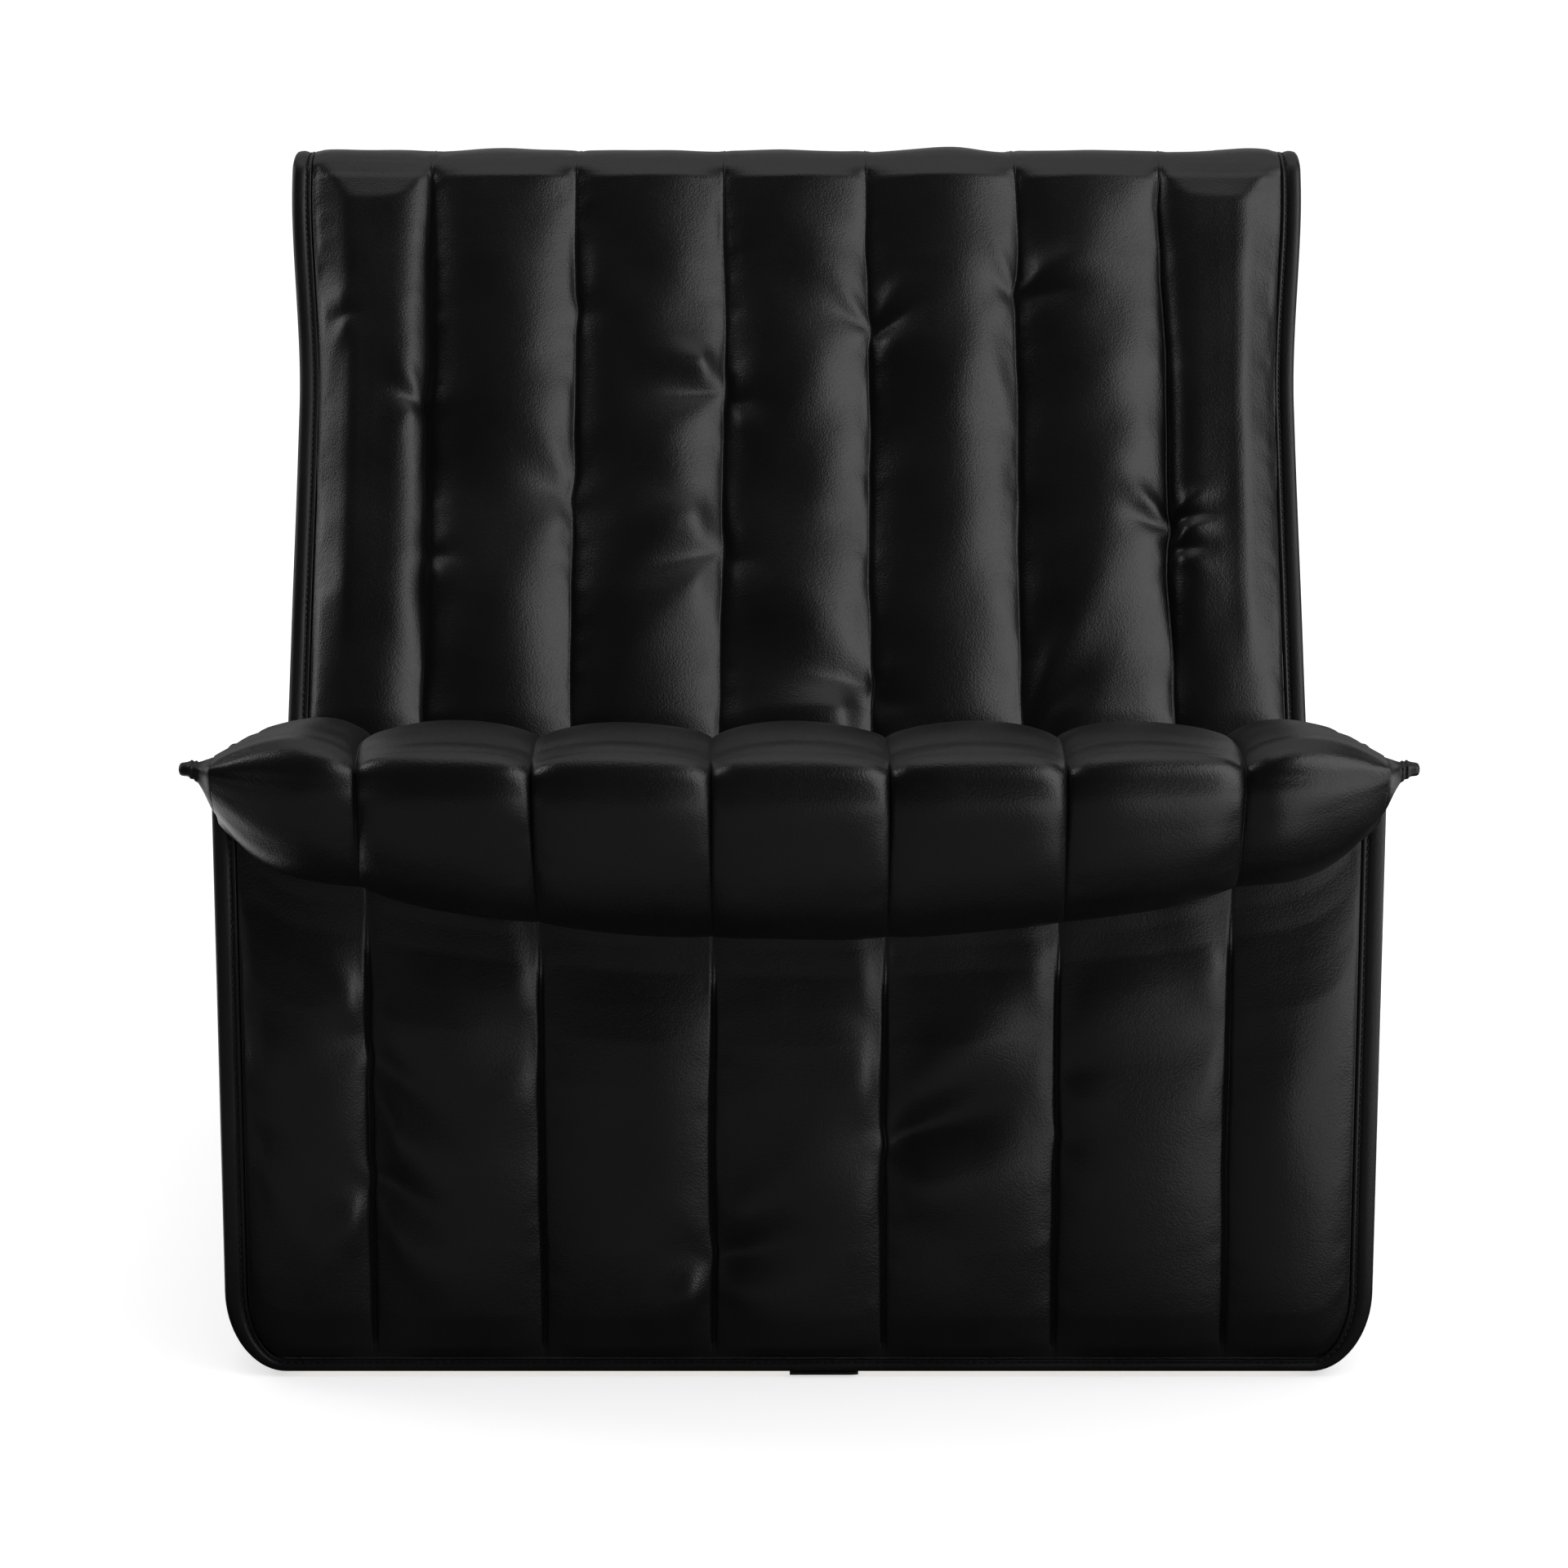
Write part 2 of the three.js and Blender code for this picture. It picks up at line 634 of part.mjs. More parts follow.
const seatInnerLine = offsetSeat(0, -innerInset).slice(lipOutlineShares.length);
const backInnerLine = offsetBack(-innerInset);
add('seat_foam', prismX([
  [innerFront, seatFoamUnder(innerFront)],
  [innerFront, lipTop(quiltHalf) - innerInset - lipEarDrop],
  ...seatInnerLine,
  [crookReach, seatInnerLine.at(-1)[1]],
  [crookReach, seatFoamUnder(crookReach)],
], -foamHalf, foamHalf), foam);

const backFoamFoot = crookReach + clearance;
const railEnd = (drop) => (
  (uprightFootReach - clearance + uprightSlope * (seatRailTop + seatSlope * lipOverhang - drop - postBase))
  / (1 + uprightSlope * seatSlope)
);
const foamFootEnd = railEnd(0) - strapThickness - clearance;
add('back_foam', prismX([
  [backFoamFoot, seatFoamUnder(backFoamFoot)],
  [backFoamFoot, backInnerLine[0][1] - clearance],
  ...backInnerLine,
  [backInnerLine.at(-1)[0], uprightTopHeight + clearance],
  [strapFace(uprightTopHeight), uprightTopHeight + clearance],
  [strapFace(seatFoamUnder(foamFootEnd)), seatFoamUnder(foamFootEnd)],
], -foamHalf, foamHalf), foam);

add('rear_foam', leaned(
  prismY(tray(foamHalf, plateBottom, rearFoamTop), -rearFoamInset + clearance, -innerInset),
  rearReach,
), foam);

// Timber frame

const postRear = (z) => rearReach(z) - rearFoamInset - clearance;
const baseRailRear = postRear(baseRailTop);
const railInner = frameHalf - boardThickness;
addPair('base_rail', prismY([
  [railInner, frameBase],
  [frameHalf - baseRailBevel, frameBase],
  [frameHalf, frameBase + baseRailChamfer],
  [frameHalf, baseRailTop],
  [railInner, baseRailTop],
], frameFront, baseRailRear), timber);

const railBottomAt = (y) => railTopAt(y) - seatRailHeight;
addPair('front_post', prismX([
  [frameFront, postBase],
  [frameFront, railBottomAt(frameFront) - clearance],
  [frameFront + postDepth, railBottomAt(frameFront + postDepth) - clearance],
  [frameFront + postDepth, postBase],
], railInner, frameHalf), timber);

addPair('seat_rail', prismX([
  [frameFront, railBottomAt(frameFront)],
  [frameFront, railTopAt(frameFront)],
  [railEnd(0), railTopAt(railEnd(0))],
  [railEnd(seatRailHeight), railBottomAt(railEnd(seatRailHeight))],
], railInner, frameHalf), timber);

addPair('back_upright', prismX([
  [uprightFace(postBase), postBase],
  [uprightFace(uprightTopHeight), uprightTopHeight],
  [uprightFace(uprightTopHeight) + uprightDepth, uprightTopHeight],
  [uprightFace(postBase) + uprightDepth, postBase],
], railInner, frameHalf), timber);

// Where a line that keeps depth in front of the rear posts' rear face meets the upright's rear face
function meetHeight(depth) {
  const rearAtFloor = postRear(0) - depth;
  const uprightAtFloor = uprightFace(0) + uprightDepth + clearance;
  return (rearAtFloor - uprightAtFloor) / (uprightSlope + rearSlope);
}

addPair('rear_post', prismX([
  [postRear(postBase) - rearPostDepth, postBase],
  [postRear(meetHeight(rearPostDepth)) - rearPostDepth, meetHeight(rearPostDepth)],
  [postRear(meetHeight(clearance)) - clearance, meetHeight(clearance)],
  [postRear(postBase), postBase],
], railInner, frameHalf), timber);

add('front_base_rail', prismX([
  [frameFront, frameBase],
  [frameFront, baseRailTop],
  [frameFront + boardThickness, baseRailTop],
  [frameFront + boardThickness, frameBase],
], -crossHalf, crossHalf), timber);

add('rear_base_rail', prismX([
  [baseRailRear - boardThickness, frameBase],
  [baseRailRear - boardThickness, baseRailTop],
  [baseRailRear, baseRailTop],
  [baseRailRear, frameBase],
], -crossHalf, crossHalf), timber);

function seatCrossRail(y) {
  return prismX([
    [y, railBottomAt(y)],
    [y, railTopAt(y)],
    [y + boardThickness, railTopAt(y + boardThickness)],
    [y + boardThickness, railBottomAt(y + boardThickness)],
  ], -crossHalf, crossHalf);
}

const seatRearRailReach = railEnd(seatRailHeight) - boardThickness;
add('seat_front_rail', seatCrossRail(frameFront), timber);
add('seat_rear_rail', seatCrossRail(seatRearRailReach), timber);

function backCrossRail(bottom, height, thickness) {
  return prismX([
    [uprightFace(bottom), bottom],
    [uprightFace(bottom + height), bottom + height],
    [uprightFace(bottom + height) + thickness, bottom + height],
    [uprightFace(bottom) + thickness, bottom],
  ], -crossHalf, crossHalf);
}

add('back_low_rail', backCrossRail(lowBackRailHeight, backRailHeight, boardThickness), timber);
add('back_mid_rail', backCrossRail(midBackRailHeight, backRailHeight, boardThickness), timber);
add('back_top_rail', backCrossRail(topRailBase, topRailHeight, topRailThickness), timber);

function cornerBlock(y, inward) {
  return prismZ([
    [crossHalf, y],
    [crossHalf - cornerBlockWidth, y],
    [crossHalf, y + inward * cornerBlockWidth],
  ], frameBase, frameBase + cornerBlockHeight);
}

const frontBlockReach = frameFront + boardThickness + clearance;
const rearBlockReach = baseRailRear - boardThickness - clearance;
addPair('front_corner_block', cornerBlock(frontBlockReach, 1), timber);
addPair('rear_corner_block', cornerBlock(rearBlockReach, -1), timber);

// Webbing

function spread(count, half) {
  return Array.from({ length: count }, (_, i) => -half + 2 * half * ((i + 0.5) / count));
}

const strapEnd = seatRearRailReach + boardThickness;
spread(seatStrapCount, crossHalf).forEach((x, i) => {
  const outline = [
    [frameFront, railTopAt(frameFront) + clearance],
    [frameFront, railTopAt(frameFront) + clearance + strapThickness],
    [strapEnd, railTopAt(strapEnd) + clearance + strapThickness],
    [strapEnd, railTopAt(strapEnd) + clearance],
  ];
  add(`seat_strap_${i + 1}`, prismX(outline, x - strapWidth / 2, x + strapWidth / 2), webbing);
});

spread(backStrapCount, crossHalf).forEach((x, i) => {
  const front = (z) => uprightFace(z) - clearance - strapThickness;
  const outline = [
    [front(lowBackRailHeight), lowBackRailHeight],
    [front(uprightTopHeight), uprightTopHeight],
    [front(uprightTopHeight) + strapThickness, uprightTopHeight],
    [front(lowBackRailHeight) + strapThickness, lowBackRailHeight],
  ];
  add(`back_strap_${i + 1}`, prismX(outline, x - strapWidth / 2, x + strapWidth / 2), webbing);
});

// Underneath

const dustCoverBase = glideHeight + clearance;
add('dust_cover', prismZ([
  [-crossHalf, frameFront],
  [crossHalf, frameFront],
  [crossHalf, baseRailRear],
  [-crossHalf, baseRailRear],
], dustCoverBase, dustCoverBase + dustCoverThickness), lining);

function glide(x, y) {
  const profile = [
    [0, 0],
    [glideSoleRadius, 0],
    [glideRadius, glideRimHeight],
    [glideRadius, glideHeight],
    [0, glideHeight],
  ].map(([r, z]) => new THREE.Vector2(r, z));
  const turned = new THREE.LatheGeometry(profile, 24);
  turned.rotateX(Math.PI / 2);
  turned.translate(x, y, 0);
  return turned;
}

addPair('front_glide', glide(crossHalf - glideInset, frontBlockReach + glideInset), plastic);
addPair('rear_glide', glide(crossHalf - glideInset, rearBlockReach - glideInset), plastic);

// Everything is placed by its reach, so the group brings the middle of the depth to y = 0.
const bounds = new THREE.Box3().setFromObject(body);
body.position.y = -(bounds.min.y + bounds.max.y) / 2;

export default chair;
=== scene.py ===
"""The looks of a low lounge chair in black channel-quilted leather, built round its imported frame.

Lengths are in millimetres, and points are given as across, reach (back from the lip) and height. They become
metres as a mesh is made. Lights, camera and materials are in metres.
"""

import json
import math

import bpy
import numpy as np
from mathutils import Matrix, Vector

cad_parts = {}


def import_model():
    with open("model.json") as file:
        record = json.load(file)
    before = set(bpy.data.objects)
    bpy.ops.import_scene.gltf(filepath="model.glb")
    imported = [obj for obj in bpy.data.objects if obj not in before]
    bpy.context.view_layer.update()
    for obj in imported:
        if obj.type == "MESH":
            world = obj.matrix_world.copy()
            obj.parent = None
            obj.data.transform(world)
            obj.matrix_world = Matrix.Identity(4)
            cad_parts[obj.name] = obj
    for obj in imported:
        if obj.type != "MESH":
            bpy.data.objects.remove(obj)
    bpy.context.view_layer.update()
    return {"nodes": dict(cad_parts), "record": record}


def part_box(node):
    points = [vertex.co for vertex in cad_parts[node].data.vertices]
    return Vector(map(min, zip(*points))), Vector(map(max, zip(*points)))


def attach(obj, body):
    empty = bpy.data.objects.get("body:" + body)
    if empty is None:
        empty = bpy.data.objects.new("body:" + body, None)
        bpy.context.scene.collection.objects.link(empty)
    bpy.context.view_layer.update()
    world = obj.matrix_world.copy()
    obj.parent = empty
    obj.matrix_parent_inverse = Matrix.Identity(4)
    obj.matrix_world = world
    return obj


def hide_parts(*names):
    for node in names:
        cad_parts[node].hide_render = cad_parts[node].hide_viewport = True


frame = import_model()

# Sizes of the blanket, as the frame has them. Only the lower corners are tighter here, as in the photograph.
PITCH = 113.4
INNER_CHANNELS = 5
END_WIDTH = 84.0
BAND_WIDTH = 16.0
EAR_ROOT_REACH = 10.0
EAR_REACH = 16.5
TOP_FLARE = 11.0
LIP_OVERHANG = 92.0
LIP_UNDERSIDE = 311.0
LIP_TOP = 438.0
LIP_SETBACK = 45.0
LIP_EAR_DROP = 8.0
EAR_THICKNESS = 24.0
CROOK = (530.0, 324.0)
BACK_FOOT = (546.0, 322.0)
BACK_TOP = (789.0, 738.0)
RIDGE_RISE = 18.0
REAR_TOP = (863.0, 714.0)
REAR_LEAN = 28.0
HEM = 4.0
BACKING = 6.0
HANG_SLACK = 1.5
BAND_BOTTOM = 9.0
CORNER_WIDTH = 40.0
CORNER_HEIGHT = 56.0
CLEARANCE = 0.3
SIDE_HALF = 381.5
SIDE_THICKNESS = 3.0
SIDES = ((1, "right"), (-1, "left"))

# Distances between the rows of each grid
LIP_ROW, SEAT_ROW, BACK_ROW, RIDGE_ROW, BAND_ROW, COVER_ROW = 2.6, 4.5, 3.0, 2.4, 6, 5.5
HANGING_ROW = {"front": 2.8, "rear": 4.2}

OUTER_SEAM = PITCH * INNER_CHANNELS / 2
QUILT_HALF = OUTER_SEAM + END_WIDTH
BODY_HALF = QUILT_HALF + BAND_WIDTH
EAR_ROOT = QUILT_HALF + EAR_ROOT_REACH
EAR_TIP_END = BODY_HALF + EAR_REACH
LIP_EAR_RISE = LIP_TOP - LIP_EAR_DROP - EAR_THICKNESS - LIP_UNDERSIDE
CORNER_X = BODY_HALF - CORNER_WIDTH
CORNER_Z = HEM + CORNER_HEIGHT
REAR_SLOPE = REAR_LEAN / (REAR_TOP[1] - HEM)
SEAM_XS = [-OUTER_SEAM + PITCH * i for i in range(INNER_CHANNELS + 1)]

MM = 0.001
REACH_ZERO = LIP_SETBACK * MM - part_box("ear_tip_right")[0].y


def world(points):
    """Points of across, reach and height in millimetres, as metres in the frame."""
    out = np.array(points, float) * MM
    out[..., 1] -= REACH_ZERO
    return out


# Small mathematics

def smooth(low, high, value):
    """A smooth step from 0 at the low value to 1 at the high one."""
    t = np.clip((value - low) / (high - low), 0, 1)
    return t * t * (3 - 2 * t)


def bell(value, width):
    return np.exp(-(value / width) ** 2)


def soft_noise(u, v, cell_u, cell_v, seed):
    """Smooth noise from -1 to 1 over two coordinates, with features about as large as the cells."""
    rng = np.random.RandomState(seed)
    size = 64
    grid = rng.uniform(-1, 1, (size, size))
    a, b = u / cell_u + 17.3, v / cell_v + 11.7
    i, j = np.floor(a).astype(int), np.floor(b).astype(int)
    fa, fb = a - i, b - j
    fa, fb = fa * fa * (3 - 2 * fa), fb * fb * (3 - 2 * fb)
    at = lambda p, q: grid[p % size, q % size]
    near = at(i, j) * (1 - fa) + at(i + 1, j) * fa
    far = at(i, j + 1) * (1 - fa) + at(i + 1, j + 1) * fa
    return near * (1 - fb) + far * fb


def spline_weights(knots, places):
    """Weights that turn values at the knots into a smooth curve through them, at the places."""
    knots, places = np.asarray(knots, float), np.asarray(places, float)
    count = len(knots)
    slope = np.zeros((count, count))
    for i in range(count):
        a, b = max(i - 1, 0), min(i + 1, count - 1)
        if 0 < i < count - 1:
            h0, h1 = knots[i] - knots[a], knots[b] - knots[i]
            slope[i, a] = -h1 / (h0 * (h0 + h1))
            slope[i, b] = h0 / (h1 * (h0 + h1))
            slope[i, i] = -slope[i, a] - slope[i, b]
        else:
            slope[i, b] += 1 / (knots[b] - knots[a])
            slope[i, a] -= 1 / (knots[b] - knots[a])
    seg = np.clip(np.searchsorted(knots, places, side="right") - 1, 0, count - 2)
    width = knots[seg + 1] - knots[seg]
    t = (places - knots[seg]) / width
    rows = np.arange(len(places))
    weights = np.zeros((len(places), count))
    weights[rows, seg] += 2 * t**3 - 3 * t**2 + 1
    weights[rows, seg + 1] += -2 * t**3 + 3 * t**2
    weights += (t**3 - 2 * t**2 + t)[:, None] * width[:, None] * slope[seg]
    weights += (t**3 - t**2)[:, None] * width[:, None] * slope[seg + 1]
    return weights


def arc_knots(points):
    """The distance along a line at each of its points."""
    steps = np.linalg.norm(np.diff(points, axis=0), axis=1)
    return np.concatenate([[0], np.cumsum(steps)])


def left_normals(curves):
    """Unit normals to the left of curves of reach and height, along the second last axis."""
    run = np.gradient(curves, axis=-2)
    run /= np.linalg.norm(run, axis=-1, keepdims=True) + 1e-9
    return np.stack([-run[..., 1], run[..., 0]], axis=-1)


# Meshes

def mesh_object(name, points, faces, material, sharp=50):
    """A mesh from points in metres, turned outward and shaded smooth but for edges sharper than an angle."""
    mesh = bpy.data.meshes.new(name)
    mesh.from_pydata(points.tolist(), [], faces)
    mesh.validate()
    mesh.calc_loop_triangles()
    corners = np.empty(len(mesh.loop_triangles) * 3, np.int32)
    mesh.loop_triangles.foreach_get("vertices", corners)
    a, b, c = (points[corners[k::3]] for k in range(3))
    if np.einsum("ij,ij->i", a, np.cross(b, c)).sum() < 0:
        mesh.flip_normals()
    mesh.polygons.foreach_set("use_smooth", [True] * len(mesh.polygons))
    mesh.set_sharp_from_angle(angle=math.radians(sharp))
    mesh.materials.append(material)
    made = bpy.data.objects.new(name, mesh)
    bpy.context.scene.collection.objects.link(made)
    return made


def zip_faces(first, second):
    """Triangles between two runs of vertex numbers that end at the same places."""
    faces, i, j = [], 0, 0
    while i + 1 < len(first) or j + 1 < len(second):
        ahead = (i + 1) * len(second) <= (j + 1) * len(first)
        if j + 1 >= len(second) or (ahead and i + 1 < len(first)):
            faces.append((first[i], first[i + 1], second[j]))
            i += 1
        else:
            faces.append((first[i], second[j + 1], second[j]))
            j += 1
    return faces


def sheet_solid(name, outer, inner, material):
    """A closed sheet from its two faces, each a grid of columns by rows."""
    columns, rows, back_rows = outer.shape[0], outer.shape[1], inner.shape[1]
    loops = np.concatenate([outer, inner[:, ::-1]], axis=1)
    size = rows + back_rows
    i, j = np.meshgrid(np.arange(columns - 1), np.arange(size), indexing="ij")
    k = (j + 1) % size
    quads = np.stack([i * size + j, (i + 1) * size + j, (i + 1) * size + k, i * size + k], -1)
    faces = [tuple(q) for q in quads.reshape(-1, 4).tolist()]
    for column, turned in ((0, False), (columns - 1, True)):
        base = column * size
        front = list(range(base, base + rows))
        back = list(range(base + size - 1, base + rows - 1, -1))
        cap = zip_faces(front, back)
        faces += [face[::-1] for face in cap] if turned else cap
    return mesh_object(name, world(loops.reshape(-1, 3)), faces, material, 60)


def tube(count, size):
    """Faces of a tube through a count of rings, each of a size in points, closed at both ends."""
    sides = [
        (a + j, a + (j + 1) % size, a + size + (j + 1) % size, a + size + j)
        for a in range(0, (count - 1) * size, size) for j in range(size)
    ]
    return sides + [tuple(range(size - 1, -1, -1)), tuple(range((count - 1) * size, count * size))]


def swept(name, rings, material, sharp=70):
    rings = np.asarray(rings, float)
    return mesh_object(name, world(rings.reshape(-1, 3)), tube(*rings.shape[:2]), material, sharp)


def with_x(lines, x):
    """Points of across, reach and height, from lines of reach and height and their places across."""
    return np.concatenate([np.broadcast_to(x, lines.shape[:-1])[..., None], lines], -1)


# Columns across the blanket: distances from a seam, finer beside it

SWAY_CELLS = 95, 31
HALF_STEPS = [
    0, 0.4, 0.8, 1.25, 1.7, 2.3, 3.1, 4.2, 5.8, 8, 10.8, 14.2, 18, 22.4, 27.4, 33, 39, 45, 51, 56.7,
]


class Columns:
    """The places across the blanket, the same for every quilt, and where each lies in its channel."""

    def __init__(self):
        across = [-QUILT_HALF, *SEAM_XS, QUILT_HALF]
        rows = []
        for c, start in enumerate(across[:-1]):
            width = across[c + 1] - start
            near = [d for d in HALF_STEPS if d < width / 2 - 2]
            places = near + [width / 2] + [width - d for d in reversed(near)]
            rows += [(start + d, d, width - d, c) for d in (places[:-1] if c <= INNER_CHANNELS else places)]
        self.x, left, right, channel = np.array(rows, float).T[..., None]
        self.channel = channel.astype(int)
        self.width = left + right
        self.share = left / self.width
        self.near = np.minimum(left, right)
        outer = np.clip((np.abs(self.x) - OUTER_SEAM) / END_WIDTH, 0, 1)
        self.edge = np.sign(self.x) * outer
        self.to_edge = QUILT_HALF - np.abs(self.x)

    def sway(self, along, amount, seed):
        """How far each seam wanders sideways, spread over the channels between the seams."""
        shifts = np.zeros((INNER_CHANNELS + 3, *along.shape))
        for k in range(INNER_CHANNELS + 1):
            slow = soft_noise(along, np.full_like(along, 3.7 * k), SWAY_CELLS[0], 1, seed + k)
            quick = soft_noise(along, along * 0, SWAY_CELLS[1], 1, seed + 40 + k)
            shifts[k + 1] = amount * slow + 0.35 * amount * quick
        c, row = self.channel[:, 0], np.arange(len(self.x))
        return shifts[c, row] * (1 - self.share) + shifts[c + 1, row] * self.share


cols = Columns()


def swell(near, half, power=0.72, flat=0.5, squareness=2.15):
    """How far a channel has risen at a distance from its seam, from 0 to 1."""
    away = 1 - np.clip((near - flat) / (half - flat), 0, 1)
    return (1 - away**squareness) ** power


SWELL = swell(cols.near, cols.width / 2)


def seam_detail(near, ridge, groove=0.0):
    """The raised line of a seam and the groove beside it, by the distance from the seam."""
    return ridge * bell(near, 0.6) - groove * bell(near - 1.3, 0.75)


# Pinches, where a tight stitch draws the leather in. Each row gives across and height at the seam, across and
# height where the fold has died out, its half width at the seam, how deep it cuts, how far the leather above
# it and below it stands out, and how far the seam kinks sideways.
BACK_PINCHES = [
    (-57, 583, -126, 572, 6, 6.5, 8, 1, 2.0),
    (-57, 574, -10, 566, 5, 4, 1, 3, 0),
    (-57, 470, -148, 440, 8, 6, 6, 3, 1.5),
    (-57, 462, -12, 452, 5, 2.5, 1, 2, 0),
    (57, 626, 22, 640, 4, 3.5, 2, 1, 2.5),
    (57, 622, 108, 646, 5, 4.5, 2.5, 2, 0),
    (170, 652, 146, 664, 4, 3.5, 2.5, 2, -2.5),
    (170, 648, 238, 656, 5, 3.5, 3.5, 1, 0),
    (284, 484, 246, 492, 3.5, 6, 6, 2, 2.5),
    (284, 487, 326, 494, 3, 4.5, 3, 2.5, 0),
    (284, 466, 322, 470, 3, 4, 2.5, 3, 0),
    (-284, 572, -318, 580, 4, 4, 2.5, 2, -2.0),
    (-284, 466, -244, 456, 4, 3.5, 1, 2, 1.5),
    (-340, 634, -364, 630, 4, 3, 2, 2, 0),
    (57, 376, -52, 384, 11, 7, 2, 12, 2.0),
    (57, 366, 110, 352, 7, 3, 2, 1, 0),
    (170, 340, 250, 412, 9, 3, 3, 3, 0),
    (170, 545, 118, 566, 12, 2, 2, 2, 0),
    (-170, 640, -120, 622, 9, 2, 2, 1, 1.5),
    (-170, 505, -222, 520, 8, 2.5, 2, 2, -1.5),
]
FRONT_PINCHES = [
    (57, 164, 184, 214, 13, 15, 5, 7, 1.5),
    (57, 172, 0, 160, 14, 3, 5, 1, 0),
    (-284, 222, -205, 168, 11, 8, 2.5, 4, 1.5),
    (-284, 142, -202, 102, 11, 7.5, 2.5, 4, 1.5),
    (-284, 238, -325, 240, 9, 3, 4.5, 1, 0),
    (-284, 136, -330, 140, 9, 3, 1, 4.5, 0),
    (170, 212, 270, 242, 13, 5, 3, 3, 0),
    (170, 170, 246, 192, 12, 3.5, 2.5, 2.5, 1.0),
    (-364, 192, -300, 148, 13, 3.5, 2, 3, 0),
    (-57, 86, 36, 106, 10, 8, 3, 3.5, 1.0),
    (-57, 84, -118, 92, 9, 2.5, 1, 6.5, 0),
    (57, 242, 0, 252, 12, 2, 5, 1, 0),
    (170, 246, 120, 252, 12, 2, 4, 2, 0),
    (284, 246, 236, 250, 12, 2, 4, 2, 0),
    (-170, 240, -222, 250, 13, 2, 4, 2, 0),
]
REAR_PINCHES = [
    (-57, 520, -110, 508, 6, 4, 3, 1, 2),
    (170, 430, 224, 444, 6, 4, 3, 1, -2),
    (-284, 300, -235, 312, 6, 4, 2, 2, 2),
    (57, 250, 110, 232, 7, 4, 2, 2, 1),
    (284, 560, 240, 570, 5, 4, 3, 2, 2),
]

# A fold runs on a little past its end, and widens along its length. Its walls fall off from a blunt tip. The
# leather beside it stands out at a place, and over a width, in half widths of the fold. The seam's kink has a
# length up the seam and a reach across it. Folds open out softly on the hanging quilts.
FOLD_OVERRUN, FOLD_SPREAD, FOLD_DEPTH, FOLD_FALL, FOLD_TIP = 1.2, 1.6, 0.8, 1.3, 0.12
BULGE_PLACE, BULGE_WIDTH = 2.0, 1.5
KINK_LENGTH, KINK_REACH = 9, 22
BACK_SOFTNESS, HANG_SOFTNESS = 0.2, 2.0


def pinches(table, across, height, softness):
    """How far the pinches of a table move a surface out, and how far they shift it sideways."""
    out = np.zeros_like(across + height)
    shift = np.zeros_like(out)
    for x0, z0, x1, z1, width, depth, above, below, kink in table:
        run, rise = x1 - x0, z1 - z0
        away = (across - x0) * math.copysign(1, run)
        span = abs(run)
        along = np.clip(away / span, 0, FOLD_OVERRUN)
        lift = height - z0 - rise * along
        half = width * (1 + FOLD_SPREAD * along)
        fade = (1 - smooth(0.1, 1.15, away / span)) * (away >= 0)
        soft = FOLD_TIP + softness * along
        valley = np.exp(FOLD_FALL * (np.sqrt(soft) - np.sqrt((lift / half) ** 2 + soft)))
        out -= FOLD_DEPTH * fade * depth * valley
        for bulge, way in ((above, -1), (below, 1)):
            shape = bell(lift + way * BULGE_PLACE * half, BULGE_WIDTH * half)
            out += fade * bulge * shape * smooth(0, 0.25, away / span)
        shift += kink * bell(height - z0, KINK_LENGTH) * bell(across - x0, KINK_REACH)
    return out, shift


# Cells of the noise and the height of what it raises: puckers close to a seam and further off, and the slow and
# quick unevenness of the stuffing
PUCKER_CELLS, PUCKER_HEIGHTS = (11, 34), (0.4, 1.1)
UNEVEN_CELLS, UNEVEN_HEIGHTS = ((70, 95), (36, 44)), (1.9, 0.8)


def gathers(along, seed):
    """Small puckers beside the seams, where the thread gathers the leather."""
    up = along + 0 * cols.x
    side = np.where(cols.share < 0.5, 0, 7)
    close = soft_noise(up, cols.channel * 5.1 + side + 0 * up, PUCKER_CELLS[0], 1, seed)
    wide = soft_noise(up, cols.channel * 3.3 + side + 0 * up, PUCKER_CELLS[1], 1, seed + 1)
    close = PUCKER_HEIGHTS[0] * close * bell(cols.near - 6, 7)
    wide = PUCKER_HEIGHTS[1] * wide * bell(cols.near - 16, 18)
    return (close + wide) * smooth(0, 4, np.clip(cols.near - 1.5, 0, None))


def unevenness(along, seed):
    """The slow rise and fall of the stuffing."""
    across = cols.x + 0 * along
    up = along + 0 * cols.x
    slow = soft_noise(across, up, *UNEVEN_CELLS[0], seed)
    quick = soft_noise(across + 40, up, *UNEVEN_CELLS[1], seed + 1)
    return (UNEVEN_HEIGHTS[0] * slow + UNEVEN_HEIGHTS[1] * quick) * SWELL


# Lines of the blanket. Outlines are pairs of reach and height, as shares of the whole. Crowns are how far the
# channels stand out at each of those points, as shares of the full crown.

LIP_OUTLINE = [
    (1.04, 0.1), (0.84, 0), (0.6, 0.03), (0.37, 0.16), (0.18, 0.38), (0.06, 0.62),
    (0, 0.86), (0.04, 0.95), (0.16, 0.99), (0.4, 1.01), (0.8, 1.02),
]
LIP_CROWN = 12.0
SEAT_LINE = [(0.08, 0.06), (0.3, 0.3), (0.55, 0.56), (0.8, 0.82), (0.97, 1)]
SEAT_CROWNS = [0.85, 1, 1, 0.95, 0.55]
SEAT_CROWN = 13.0
EAR_RISE = [(0, 0), (0.15, 0.01), (0.45, 0.11), (0.74, 0.33), (0.95, 0.7), (1, 1)]
BACK_LINE = [(0, 0), (0.09, 0.08), (0.29, 0.275), (0.5, 0.47), (0.69, 0.665), (0.87, 0.85), (1, 1)]
BACK_CROWNS = [0.3, 0.75, 1, 1, 1, 0.95, 0.7]
BACK_CROWN = 18.0
RIDGE_ANGLES = [150, 120, 90, 60, 30, 0]
